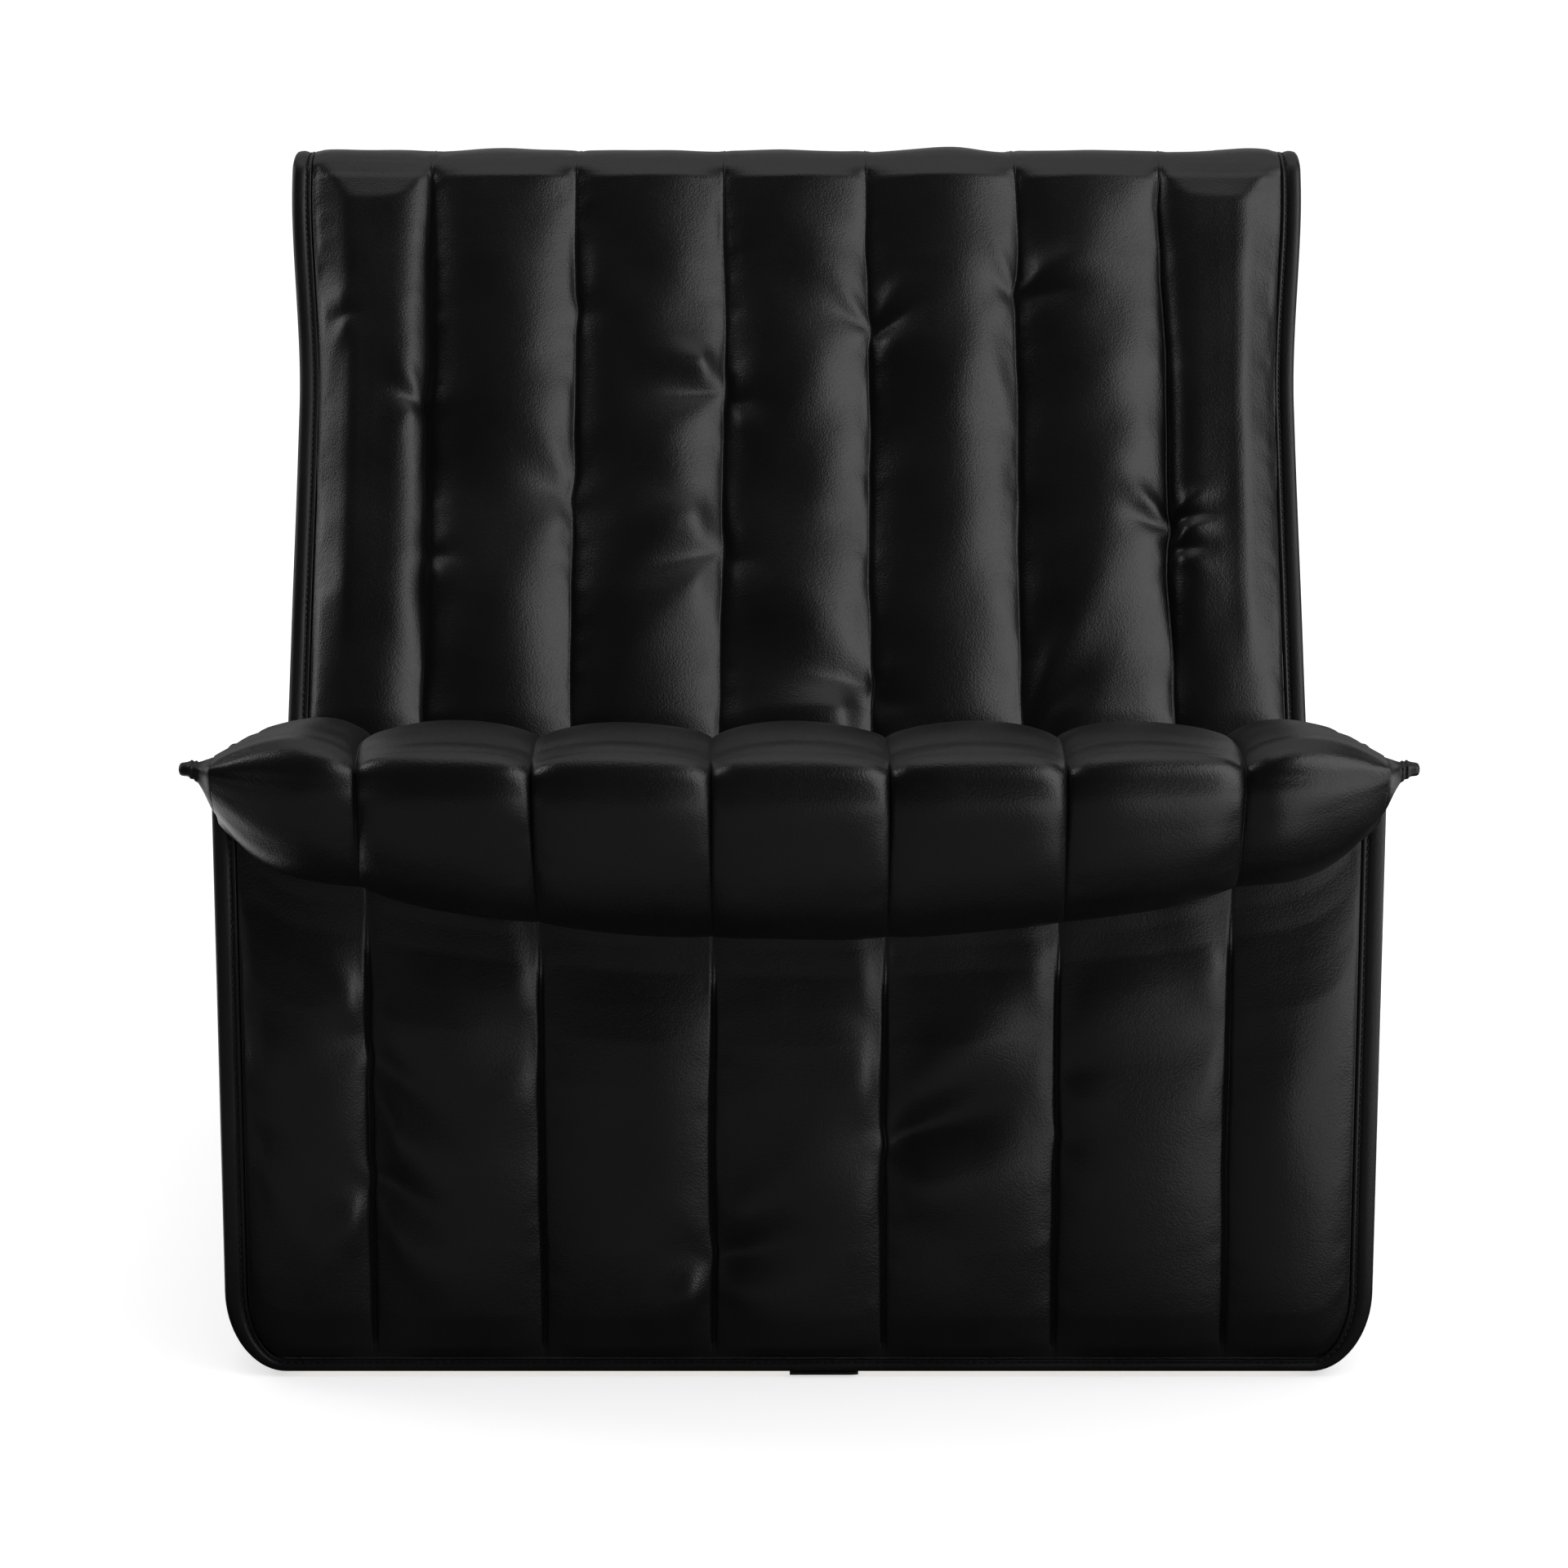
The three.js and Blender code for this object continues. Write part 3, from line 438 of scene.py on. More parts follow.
RIDGE_CROWNS = [1.6, 1.1, 1, 1, 1.3, 1.8, 0]
RIDGE_CROWN = 2.2
HANG_SHARES = [0, 0.03, 0.1, 0.25, 0.45, 0.62, 0.72, 0.8, 0.87, 0.93, 1]
HANG_CROWNS = [0, 0.55, 0.85, 1, 1, 0.99, 0.88, 0.6, 0.27, 0.2, 0.3]
FRONT_CROWN = 13.0
REAR_CROWN = 12.0
FLARE_START = 0.6
FRONT_TOP_SHARE = 0.06
# Behind the ears the seat's edge sinks and the side's top edge is drawn in, both less and less with the reach.
# The edge sinks less where the side's board lies under it.
EDGE_DROP, BOARD_LESS, BOARD_START, EDGE_LEVEL = 10.0, 5.0, (102, 118), (150, 300)
EDGE_DRAW_IN, DRAW_IN_END = 8.0, (130, 240)


def ear_share(x):
    """The distance from the middle, from 0 to 1 at an ear's root."""
    return np.minimum(np.abs(x) / EAR_ROOT, 1)


def ear_rise(x):
    """How far the lip has risen towards the ears, from 0 to 1, as one smooth curve through its table."""
    knots, values = np.array(EAR_RISE).T
    share = ear_share(np.asarray(x, float))
    return (spline_weights(knots, share.ravel()) @ values).reshape(share.shape)


def lip_underside(x):
    return LIP_UNDERSIDE + LIP_EAR_RISE * ear_rise(x)


def lip_top(x):
    return LIP_TOP - LIP_EAR_DROP * ear_rise(x)


def lip_points(x):
    """The lip's outline at places across, from its underside round the front to its top."""
    x = np.asarray(x, float)
    y, z = np.array(LIP_OUTLINE).T
    front, under = LIP_SETBACK * ear_share(x) ** 3, lip_underside(x)
    depth, height = LIP_OVERHANG - front, lip_top(x) - under
    return np.stack([front + depth * y, under + height * z], -1)


def between(start, end, shares):
    """Points between two, at their shares of the way in reach and in height."""
    return np.array(start) + (np.array(end) - start) * shares


seat_points = between((LIP_OVERHANG, LIP_TOP), CROOK, SEAT_LINE)
back_points = between(BACK_FOOT, BACK_TOP, BACK_LINE)
ridge_points = np.array([
    ((BACK_TOP[0] + REAR_TOP[0]) / 2 + (REAR_TOP[0] - BACK_TOP[0]) / 2 * math.cos(math.radians(a)),
     BACK_TOP[1] + RIDGE_RISE * math.sin(math.radians(a))) for a in RIDGE_ANGLES
])


def rear_reach(z):
    return REAR_TOP[0] + (REAR_TOP[1] - z) * REAR_SLOPE


def flare(z):
    """How far the back widens towards its top."""
    start = BACK_FOOT[1] + (BACK_TOP[1] - BACK_FOOT[1]) * FLARE_START
    return TOP_FLARE * smooth(start, BACK_TOP[1], z)


def hem_at(x):
    """The height of the lower edge of the front and rear quilts, which rises at the rounded corners."""
    out = np.clip((np.abs(x) - CORNER_X) / (QUILT_HALF - CORNER_X), 0, 1)
    drop = CORNER_HEIGHT - BAND_BOTTOM - HANG_SLACK
    return CORNER_Z - drop * np.sqrt(1 - out**2)


def front_top(x):
    """The height of the front quilt's upper edge, just inside the lip."""
    return lip_underside(x) + FRONT_TOP_SHARE * (lip_top(x) - lip_underside(x))


lip_end = lip_points(QUILT_HALF)[-1]


def ear_extra(reach):
    """How far the ears stand out past the edge of the seat, at a distance back from the lip."""
    return EAR_ROOT_REACH * (1 - smooth(lip_end[0] - 2, lip_end[0] + 16, reach))


def edge_drop(reach):
    """How far the seat's edge sinks behind the ears, at a distance back from the lip."""
    drop = EDGE_DROP - BOARD_LESS * smooth(*BOARD_START, reach)
    return drop * smooth(lip_end[0] - 14, lip_end[0] + 8, reach) * (1 - smooth(*EDGE_LEVEL, reach))


def draw_in(reach):
    """How far the side's top edge is drawn in behind the ears."""
    return EDGE_DRAW_IN * (1 - smooth(*DRAW_IN_END, reach))


def rows_along(knots, first, last, step):
    """Evenly spaced places from one knot to another, about a step apart."""
    count = max(int(round((knots[last] - knots[first]) / step)), 2)
    return np.linspace(knots[first], knots[last], count + 1)


def rows_in_two(knots, first, change, last, steps):
    """The same, with one step up to a knot and another beyond it."""
    return np.concatenate([
        rows_along(knots, first, change, steps[0])[:-1], rows_along(knots, change, last, steps[1]),
    ])


# Materials

def shader(name, **sockets):
    made = bpy.data.materials.new(name)
    made.use_nodes = True
    main = made.node_tree.nodes["Principled BSDF"]
    for key, value in sockets.items():
        main.inputs[key.replace("_", " ")].default_value = value
    return made, made.node_tree, main


def node(tree, kind, values=None, vector=None, **settings):
    """A node with its input values and settings, and the vector that it reads, if it reads one."""
    made = tree.nodes.new(kind)
    for key, value in settings.items():
        setattr(made, key, value)
    for key, value in (values or {}).items():
        made.inputs[key].default_value = value
    if vector is not None:
        tree.links.new(vector, made.inputs["Vector"])
    return made


def place(tree, scale=(1, 1, 1)):
    """Object coordinates, stretched by a scale."""
    where = node(tree, "ShaderNodeTexCoord").outputs["Object"]
    return node(tree, "ShaderNodeMapping", {"Scale": scale}, where).outputs["Vector"]


def noise(tree, vector, scale, detail=3, rough=0.55):
    values = {"Scale": scale, "Detail": detail, "Roughness": rough}
    return node(tree, "ShaderNodeTexNoise", values, vector).outputs["Fac"]


def ramp(tree, value, low, high, a=0.3, b=0.7):
    """Carries a texture's values from a to b over to values from low to high."""
    made = node(tree, "ShaderNodeMapRange", {"From Min": a, "From Max": b, "To Min": low, "To Max": high})
    tree.links.new(value, made.inputs["Value"])
    return made.outputs["Result"]


def math_node(tree, operation, *values):
    made = node(tree, "ShaderNodeMath", operation=operation)
    for socket, value in zip(made.inputs, values):
        if isinstance(value, (int, float)):
            socket.default_value = value
        else:
            tree.links.new(value, socket)
    return made.outputs["Value"]


def plus(tree, first, second, weight):
    """One pattern plus another times a weight."""
    return math_node(tree, "ADD", first, math_node(tree, "MULTIPLY", second, weight))


def tint(tree, main, pattern, dark, light):
    """Blends the shader's colour between two by a pattern."""
    made = node(tree, "ShaderNodeMix", data_type="RGBA")
    made.inputs["A"].default_value = (*dark, 1)
    made.inputs["B"].default_value = (*light, 1)
    tree.links.new(ramp(tree, pattern, 0, 1), made.inputs["Factor"])
    tree.links.new(made.outputs["Result"], main.inputs["Base Color"])


def relief(tree, main, height, depth, rough):
    """Gives the shader a bump of a depth and a roughness."""
    made = node(tree, "ShaderNodeBump", {"Strength": 1.0, "Distance": depth})
    tree.links.new(height, made.inputs["Height"])
    tree.links.new(made.outputs["Normal"], main.inputs["Normal"])
    tree.links.new(rough, main.inputs["Roughness"])


# The leather's patterns: features per metre, how far the pebbles' outlines wander, how much each pattern adds
# to the bump, and the roughness between the pebbles
PEBBLES, WANDER, PORES, SWELLS, PATCHES = 720.0, 260.0, 1900, 90, 9
WANDER_BY = 0.0016
PEBBLE_BUMP, PORE_BUMP, SWELL_BUMP = 0.85, 0.18, 0.9
GAP_ROUGHNESS = 0.07


def leather(name, dark, light, low, high, grain=0.00016):
    """Grained leather: pebbles with fine pores between them, and a finish rubbed smoother in places."""
    made, tree, main = shader(name, Specular_IOR_Level=0.5)
    at = place(tree)
    wander = node(tree, "ShaderNodeTexNoise", {"Scale": WANDER, "Detail": 2.0}, at)
    shift = node(tree, "ShaderNodeVectorMath", {1: [WANDER_BY] * 3}, operation="MULTIPLY_ADD")
    tree.links.new(wander.outputs["Color"], shift.inputs[0])
    tree.links.new(at, shift.inputs[2])
    cells = {"Scale": PEBBLES, "Randomness": 0.95, "Smoothness": 0.6}
    pebbles = node(
        tree, "ShaderNodeTexVoronoi", cells, shift.outputs["Vector"], feature="SMOOTH_F1"
    ).outputs["Distance"]
    height = math_node(tree, "MULTIPLY_ADD", pebbles, -PEBBLE_BUMP, PEBBLE_BUMP)
    height = plus(tree, height, noise(tree, at, PORES, 2), PORE_BUMP)
    height = plus(tree, height, noise(tree, at, SWELLS, 3), SWELL_BUMP)
    patches = noise(tree, at, PATCHES, 4)
    rough = plus(tree, ramp(tree, patches, low, high), ramp(tree, pebbles, 0, 1, 0.25, 0.75), GAP_ROUGHNESS)
    relief(tree, main, height, grain, rough)
    tint(tree, main, patches, dark, light)
    return made


def cloth(name, dark, light, threads, depth, rough=0.9, weave=True):
    """Woven cloth, finer with a higher number of threads, or plain fuzz where it has no weave."""
    made, tree, main = shader(name, Roughness=rough, Specular_IOR_Level=0.2)
    at = place(tree)
    fuzz = noise(tree, at, 600, 3)
    height = fuzz
    if weave:
        values = {"Scale": threads, "Distortion": 0.4}
        warp, weft = (
            node(tree, "ShaderNodeTexWave", values, at, bands_direction=way).outputs["Fac"] for way in "XY"
        )
        height = plus(tree, math_node(tree, "MULTIPLY", warp, weft), fuzz, 0.3)
    relief(tree, main, height, depth, ramp(tree, fuzz, rough - 0.08, min(rough + 0.08, 1)))
    tint(tree, main, noise(tree, at, 40, 3), dark, light)
    return made


def wood(name, dark, light, stretch, lines):
    """Planed wood, its grain along the stretch. A higher number of lines gives the fine plies of plywood."""
    made, tree, main = shader(name, Specular_IOR_Level=0.35)
    at = place(tree, stretch)
    wave = node(tree, "ShaderNodeTexWave", {"Scale": lines, "Distortion": 6.0, "Detail": 3.0}, at)
    grain = math_node(tree, "MULTIPLY", noise(tree, at, 60, 5, 0.6), 0.7)
    both = plus(tree, grain, wave.outputs["Fac"], 0.3)
    relief(tree, main, both, 0.0002, ramp(tree, both, 0.55, 0.8))
    tint(tree, main, both, dark, light)
    return made


def moulded(name, dark, light):
    """Moulded plastic with a fine speckle."""
    made, tree, main = shader(name, Specular_IOR_Level=0.5)
    at = place(tree)
    speckle = noise(tree, at, 1400, 2)
    relief(tree, main, speckle, 0.00008, ramp(tree, noise(tree, at, 120, 3), 0.45, 0.62))
    tint(tree, main, speckle, dark, light)
    return made


QUILT = leather("quilt_leather", (0.0024, 0.0024, 0.0025), (0.0038, 0.0038, 0.0039), 0.27, 0.34)
BAND = leather("band_leather", (0.0022, 0.0022, 0.0023), (0.0034, 0.0034, 0.0035), 0.34, 0.44, 0.00012)
SIDE = leather("side_leather", (0.0026, 0.0026, 0.0027), (0.0040, 0.0040, 0.0041), 0.30, 0.38, 0.00018)
THREAD = cloth("thread", (0.004, 0.004, 0.004), (0.009, 0.009, 0.009), 900, 0.0001, 0.6, weave=False)
FINISHES = {
    "quilt_leather": QUILT,
    "band_leather": BAND,
    "side_leather": SIDE,
    "fibre": cloth("fibre", (0.82, 0.82, 0.79), (0.9, 0.9, 0.88), 300, 0.0012, 0.95, weave=False),
    "foam": cloth("foam", (0.74, 0.69, 0.55), (0.84, 0.8, 0.67), 300, 0.0006, 0.9, weave=False),
    "webbing": cloth("webbing", (0.075, 0.06, 0.046), (0.12, 0.1, 0.08), 130, 0.0005, 0.85),
    "lining": cloth("lining", (0.008, 0.008, 0.009), (0.014, 0.014, 0.016), 260, 0.0003, 0.92),
    "plywood": wood("plywood", (0.5, 0.36, 0.19), (0.68, 0.53, 0.32), (3, 1, 1), 160.0),
    "timber": wood("timber", (0.42, 0.28, 0.14), (0.58, 0.42, 0.24), (1, 0.25, 1), 14.0),
    "plastic": moulded("plastic", (0.01, 0.01, 0.011), (0.018, 0.018, 0.02)),
}


def finished(piece, nodes):
    """Puts every piece under the root body and hides the frame's pieces that it stands for."""
    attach(piece, "root")
    if nodes:
        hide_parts(*nodes)


# The blanket's quilts

def lofted(control, knots, places, crown, extra):
    """Each column's seam line from its control points, and the same moved out by its crown."""
    base = np.einsum("nk,ckd->cnd", spline_weights(knots, places), control)
    return base, base + left_normals(base) * (crown + extra)[..., None]


def backing(points, amount):
    """The points but the first and last, moved inward, square to the line between their neighbours."""
    run = points[:, 2:] - points[:, :-2]
    run /= np.linalg.norm(run, axis=-1, keepdims=True)
    return points[:, 1:-1] + np.stack([run[..., 1], -run[..., 0]], -1) * amount[..., None]


X = cols.x
columns = len(X)
is_end = (cols.channel == 0) | (cols.channel == INNER_CHANNELS + 1)
to_seam = np.abs(np.abs(X) - OUTER_SEAM)

# Seat: the lip's C, the seat down to the crook, and a tuck that runs on under the foot of the back
SEAT_TUCK = (556.0, 314.0)
LIP_CROWNS = [0, 0.08, 0.18, 0.36, 0.62, 0.9, 1.1, 1.1, 0.95, 0.82, 0.78]
CREST = 7
CREST_RIDGE, CREST_WIDTH = 1.3, 6.5
CONE_SWELL, CONE_TAPER, CONE_TAPER_LESS = 34, 72, 20
EDGE_FADE = 18

lip = lip_points(X)
seat = np.concatenate([seat_points, [BACK_FOOT, SEAT_TUCK]])
seat_control = np.concatenate([lip, np.broadcast_to(seat, (columns, *seat.shape))], axis=1)
seat_knots = arc_knots(seat_control[np.argmin(np.abs(X))])
lip_count = len(LIP_OUTLINE)
seat_places = rows_in_two(seat_knots, 0, lip_count - 1, len(seat_knots) - 1, (LIP_ROW, SEAT_ROW))
seat_crowns = [c * LIP_CROWN for c in LIP_CROWNS] + [c * SEAT_CROWN for c in SEAT_CROWNS] + [0, 0]
seat_crown = np.interp(seat_places, seat_knots, seat_crowns)
seat_arc = seat_places[None, :] + 0 * X
crest = seat_knots[CREST]
thin = (lip_top(X) - lip_underside(X)) / (LIP_TOP - LIP_UNDERSIDE)
in_lip = 1 - smooth(seat_knots[9], seat_knots[12], seat_arc)
over_crest = smooth(crest - 10, crest + 20, seat_arc)
top_side = smooth(crest + 1, crest + 22, seat_arc)

# Each end channel is a cone, which swells from its seam and tapers out to the ear.
taper = np.sin(np.pi / 2 * np.clip(cols.to_edge / (CONE_TAPER - CONE_TAPER_LESS * over_crest), 0, 1))
cone = swell(to_seam, CONE_SWELL) * taper ** (1.2 - 0.3 * over_crest) * (1 + 0.35 * over_crest * in_lip)
lip_swell = (
    swell(cols.near, cols.width / 2, 0.6, 0.2, 2.9) * (1 - top_side)
    + swell(cols.near, cols.width / 2, 0.72, 0.2, 2.0) * top_side
)
seat_swell = np.where(is_end, cone, lip_swell * in_lip + SWELL * (1 - in_lip))
seat_extra = (
    CREST_RIDGE * bell(seat_arc - crest, CREST_WIDTH) * smooth(0, 16, cols.near) * smooth(0.1, 0.6, thin)
    + gathers(seat_arc, 31) * 0.7 * smooth(seat_knots[1], seat_knots[3], seat_arc)
    + unevenness(seat_arc, 35) * 0.55
) * smooth(0, 12, seat_arc)
seat_base, seat_outer = lofted(
    seat_control, seat_knots, seat_places,
    seat_swell * seat_crown[None, :], seat_extra * smooth(0, 14, cols.to_edge),
)
by_edge = 1 - smooth(0, EDGE_FADE, cols.to_edge)
seat_outer[..., 1] -= edge_drop(seat_base[..., 0]) * by_edge
seat_x = X + cols.edge * ear_extra(seat_base[..., 0]) + cols.sway(seat_arc, 1.2, 5)

# The inner face starts at the same line as the outer one, so one more point goes before it.
ahead = np.concatenate([2 * seat_control[:, :1] - seat_control[:, 1:2], seat_control], axis=1)
amounts = np.full((columns, len(seat_knots) - 1), BACKING)
amounts[:, :lip_count] *= thin
seat_inner = backing(ahead, amounts)
seat_inner[..., 1] -= 0.55 * edge_drop(seat_inner[..., 0]) * by_edge
seat_inner = seat_inner[:, [i for i in range(seat_inner.shape[1]) if i % 2 == 0 or i >= lip_count]]
seat_inner_x = X + cols.edge * ear_extra(seat_inner[..., 0])
seat_faces = with_x(seat_outer, seat_x), with_x(seat_inner, seat_inner_x)
finished(sheet_solid("quilted_seat_and_lip", *seat_faces, QUILT), ["seat_quilt"])

# Back: up the face, over the ridge. The first and last points of its line only give its ends their direction.
below = REAR_TOP[1] - 40
rear_points = [(REAR_TOP[0], REAR_TOP[1] + CLEARANCE), (rear_reach(below), below)]
back_line = np.concatenate([seat_points[-1:], back_points, ridge_points, rear_points])
back_knots = arc_knots(back_line)
ridge_start = len(BACK_LINE)
back_places = rows_in_two(back_knots, 1, ridge_start, len(back_line) - 2, (BACK_ROW, RIDGE_ROW))
back_crowns = [0] + [c * BACK_CROWN for c in BACK_CROWNS] + [c * RIDGE_CROWN for c in RIDGE_CROWNS] + [0]
back_crown = np.interp(back_places, back_knots, back_crowns)
back_arc = back_places[None, :] - back_knots[1] + 0 * X
to_ridge = back_knots[ridge_start + 1] - back_knots[1] - back_arc
back_height = np.interp(back_places, back_knots, back_line[:, 1])[None, :] + 0 * X

# The end channels of the back are boxed: a flat face, a ridge line, and a slope out to the band, with a mitre
# where that slope meets the one over the top.
END_RIDGE = 28.0
BOX_RISE, BOX_DIP, BOX_SIDE = 1.08, 0.1, 30
TOP_SLOPE_START, TOP_SLOPE_LENGTH = 0.3, 34
outer_slope = BOX_RISE * np.clip(cols.to_edge / END_RIDGE, 0, 1) ** 0.9
face_share = np.clip((cols.to_edge - END_RIDGE) / (END_WIDTH - END_RIDGE), 0, 1)
boxed = np.minimum(outer_slope, BOX_RISE - BOX_DIP * np.sin(np.pi * face_share)) * swell(to_seam, BOX_SIDE)
boxed_share = smooth(60, 120, back_arc) * (1 - smooth(-10, 12, -to_ridge))
top_slope = TOP_SLOPE_START + (1 - TOP_SLOPE_START) * np.clip((to_ridge + 4) / TOP_SLOPE_LENGTH, 0, 1)
end_swell = np.minimum(boxed, top_slope)
round_swell = swell(cols.near, cols.width / 2, 0.84, 0.3, 2.0)
back_swell = np.where(is_end, SWELL * (1 - boxed_share) + end_swell * boxed_share, round_swell)
back_folds, back_kinks = pinches(BACK_PINCHES, X, back_height, BACK_SOFTNESS)
back_move = (
    seam_detail(cols.near, 0.6) + gathers(back_arc, 11) + unevenness(back_arc, 13) * 1.2
    + back_folds * np.minimum(SWELL * 1.6, 1)
)
back_move = back_move * smooth(0, 10, back_arc) * smooth(0, 12, back_arc[:, -1:] - back_arc)
back_lines = np.broadcast_to(back_line, (columns, *back_line.shape))
_, back_outer = lofted(
    back_lines, back_knots, back_places,
    back_swell * back_crown[None, :], back_move * smooth(0, 6, cols.to_edge),
)
back_sway = (cols.sway(back_arc, 2.6, 60) + back_kinks) * smooth(0, 40, back_arc)
back_x = X + cols.edge * flare(back_outer[..., 1]) + back_sway
back_inner = backing(back_lines, np.full((columns, len(back_line) - 2), BACKING))
back_inner_x = X + cols.edge * flare(back_inner[..., 1])
back_faces = with_x(back_outer, back_x), with_x(back_inner, back_inner_x)
finished(sheet_solid("quilted_back_and_ridge", *back_faces, QUILT), ["back_quilt"])


# Front and rear: hung from above, with rounded lower corners

def hanging(end, top, reach_at, crown_size, table, seed, sway, out):
    """The front or rear quilt. Out is -1 where it faces forward and 1 where it faces back."""
    low = hem_at(X)
    top = top + 0 * X
    share = np.linspace(0, 1, int(round((float(top.max()) - HEM) / HANGING_ROW[end])))[None, :]
    height = low + (top - low) * share
    crown = np.interp(share, HANG_SHARES, HANG_CROWNS) * crown_size
    folds, kinks = pinches(table, X, height, HANG_SOFTNESS)
    move = (
        seam_detail(cols.near, 0.5, 1.6) * (1 - smooth(0.78, 0.94, share))
        + gathers(height, seed) * 0.7 + unevenness(height, seed + 3)
        + folds * np.minimum(SWELL * 1.6, 1)
    ) * smooth(0, 0.05, share) * smooth(0, 0.05, 1 - share) * smooth(0, 8, cols.to_edge)
    reach = reach_at(height) + out * (SWELL * crown + move)
    wander = (cols.sway(height, sway, seed + 80) + kinks) * smooth(0, 0.1, share) * smooth(0, 0.1, 1 - share)
    inner_height = low + (top - low) * np.linspace(0, 1, 9)[None, :]
    widening = [cols.edge * flare(z) if out > 0 else 0 * z for z in (height, inner_height)]
    outer = np.stack([X + wander + widening[0], reach, height], -1)
    inner = np.stack([X + widening[1], reach_at(inner_height) - out * BACKING, inner_height], -1)
    finished(sheet_solid(f"quilted_{end}", outer, inner, QUILT), [f"{end}_quilt"])


hanging("front", front_top(X), lambda z: LIP_OVERHANG + 0 * z, FRONT_CROWN, FRONT_PINCHES, 21, 1.0, -1)
hanging("rear", REAR_TOP[1], rear_reach, REAR_CROWN, REAR_PINCHES, 71, 1.6, 1)

# Edge bands: a flat binding with a sewn groove and a bead beside the quilt. Each pair is how far in from the
# outer edge, as a share of the width, and how deep, in millimetres.
BAND_SECTION = [
    (0.03, 1.6), (0, 2.7), (0.03, 4.4), (0.1, 5.3), (0.5, 5.4), (0.9, 5.3), (0.99, 4.2), (1, 2.4), (0.97, 1),
    (0.9, 0.25), (0.84, 0.2), (0.79, 0.9), (0.75, 1.8), (0.71, 1.7), (0.66, 0.8), (0.58, 0.1), (0.4, -0.5),
    (0.22, -0.3), (0.1, 0.3),
]


def band_rings(outer, inner, inward):
    """Rings of a band from its outer and inner edges and the direction in from its face."""
    share, depth = np.array(BAND_SECTION).T
    across = outer[:, None] + (inner - outer)[:, None] * share[None, :, None]
    return across + inward[:, None] * depth[None, :, None]


def corner_path(half, bottom, turn):
    """The rounded lower corner of a face: 0 is its side, and a quarter turn its bottom."""
    across = CORNER_X + (half - CORNER_X) * np.cos(turn)
    return np.stack([across, CORNER_Z - (CORNER_Z - bottom) * np.sin(turn)], -1)


def hanging_bands(end, tops, reach_at, inward):
    """The band's halves round the front or rear: down each side, and in to the middle of the bottom."""
    def edge(side, half, bottom):
        upright = np.stack([half + (flare(tops) if inward < 0 else 0 * tops), tops], -1)
        corner = corner_path(half, bottom, np.linspace(0, np.pi / 2, 19))
        floor_x = np.linspace(CORNER_X, 0.01, 24)[1:]
        line = np.concatenate([upright, corner, np.stack([floor_x, 0 * floor_x + bottom], -1)])
        return np.stack([side * line[:, 0], reach_at(line[:, 1]), line[:, 1]], -1)

    edges = {}
    for side, word in SIDES:
        outer, inner = edge(side, BODY_HALF, HEM), edge(side, QUILT_HALF + CLEARANCE, HEM + BAND_BOTTOM)
        rings = band_rings(outer, inner, np.tile([0, inward, 0], (len(outer), 1)))
        finished(swept(f"{end}_edge_band_{word}", rings, BAND), [f"{end}_band_{word}"])
        edges[word] = outer, inner
    return edges


def lap(x0, x1, y0, y1, z0, z1):
    """The flat end of the band, folded under the hem and rounded at its edges."""
    turn = np.linspace(0, 2 * np.pi, 20, endpoint=False)
    power = lambda v, p: np.sign(v) * np.abs(v) ** p
    rings = []
    for share in (0, 0.02, 0.08, 0.5, 0.9, 0.97, 1):
        full = 1 - 0.25 * max(0, (share - 0.9) / 0.1) ** 2
        y = (y0 + y1) / 2 + (y1 - y0) / 2 * power(np.cos(turn), 0.4) * full
        z = z1 - (z1 - z0) / 2 + (z1 - z0) / 2 * power(np.sin(turn), 0.5) * full
        rings.append(np.stack([np.full_like(y, x0 + (x1 - x0) * share), y, z], -1))
    return np.array(rings)


front_reach = LIP_OVERHANG + CLEARANCE
front_tops = np.linspace(float(front_top(QUILT_HALF)) + 4, CORNER_Z + 3, 60)
front_edges = hanging_bands("front", front_tops, lambda z: front_reach + 0 * z, 1)
lap_piece = swept("front_band_lap", lap(-6, 40, front_reach + 0.2, front_reach + 5.2, 1.8, HEM - 0.2), BAND)
finished(lap_piece, [])

rear_tops = np.linspace(REAR_TOP[1], CORNER_Z + 3, 90)
rear_edges = hanging_bands("rear", rear_tops, lambda z: rear_reach(z) - CLEARANCE, -1)

# The side bands follow the edge of the seat and the back, from the ear to the ridge.
share = (LIP_OVERHANG + CLEARANCE - lip_end[0]) / (seat_points[0][0] - lip_end[0])
band_start = lip_end + (seat_points[0] - lip_end) * share
side_line = np.concatenate([[lip_end], [band_start], seat_points, back_line[1:]])
side_knots = arc_knots(side_line)
side_places = rows_along(side_knots, 1, len(side_line) - 2, BAND_ROW)
side_curve = spline_weights(side_knots, side_places) @ side_line
side_curve[:, 1] -= edge_drop(side_curve[:, 0])
side_inward = with_x(-left_normals(side_curve), 0)
side_rise = 0.3 * ear_extra(side_curve[:, 0]) + flare(side_curve[:, 1])
side_edges = {}
for side, word in SIDES:
    outer = with_x(side_curve, side * (BODY_HALF - draw_in(side_curve[:, 0]) + side_rise))
    inner = with_x(side_curve, side * (QUILT_HALF + CLEARANCE + side_rise))
    piece = swept(f"side_edge_band_{word}", band_rings(outer, inner, side_inward), BAND)
    finished(piece, [f"side_band_{word}"])
    side_edges[word] = outer, inner

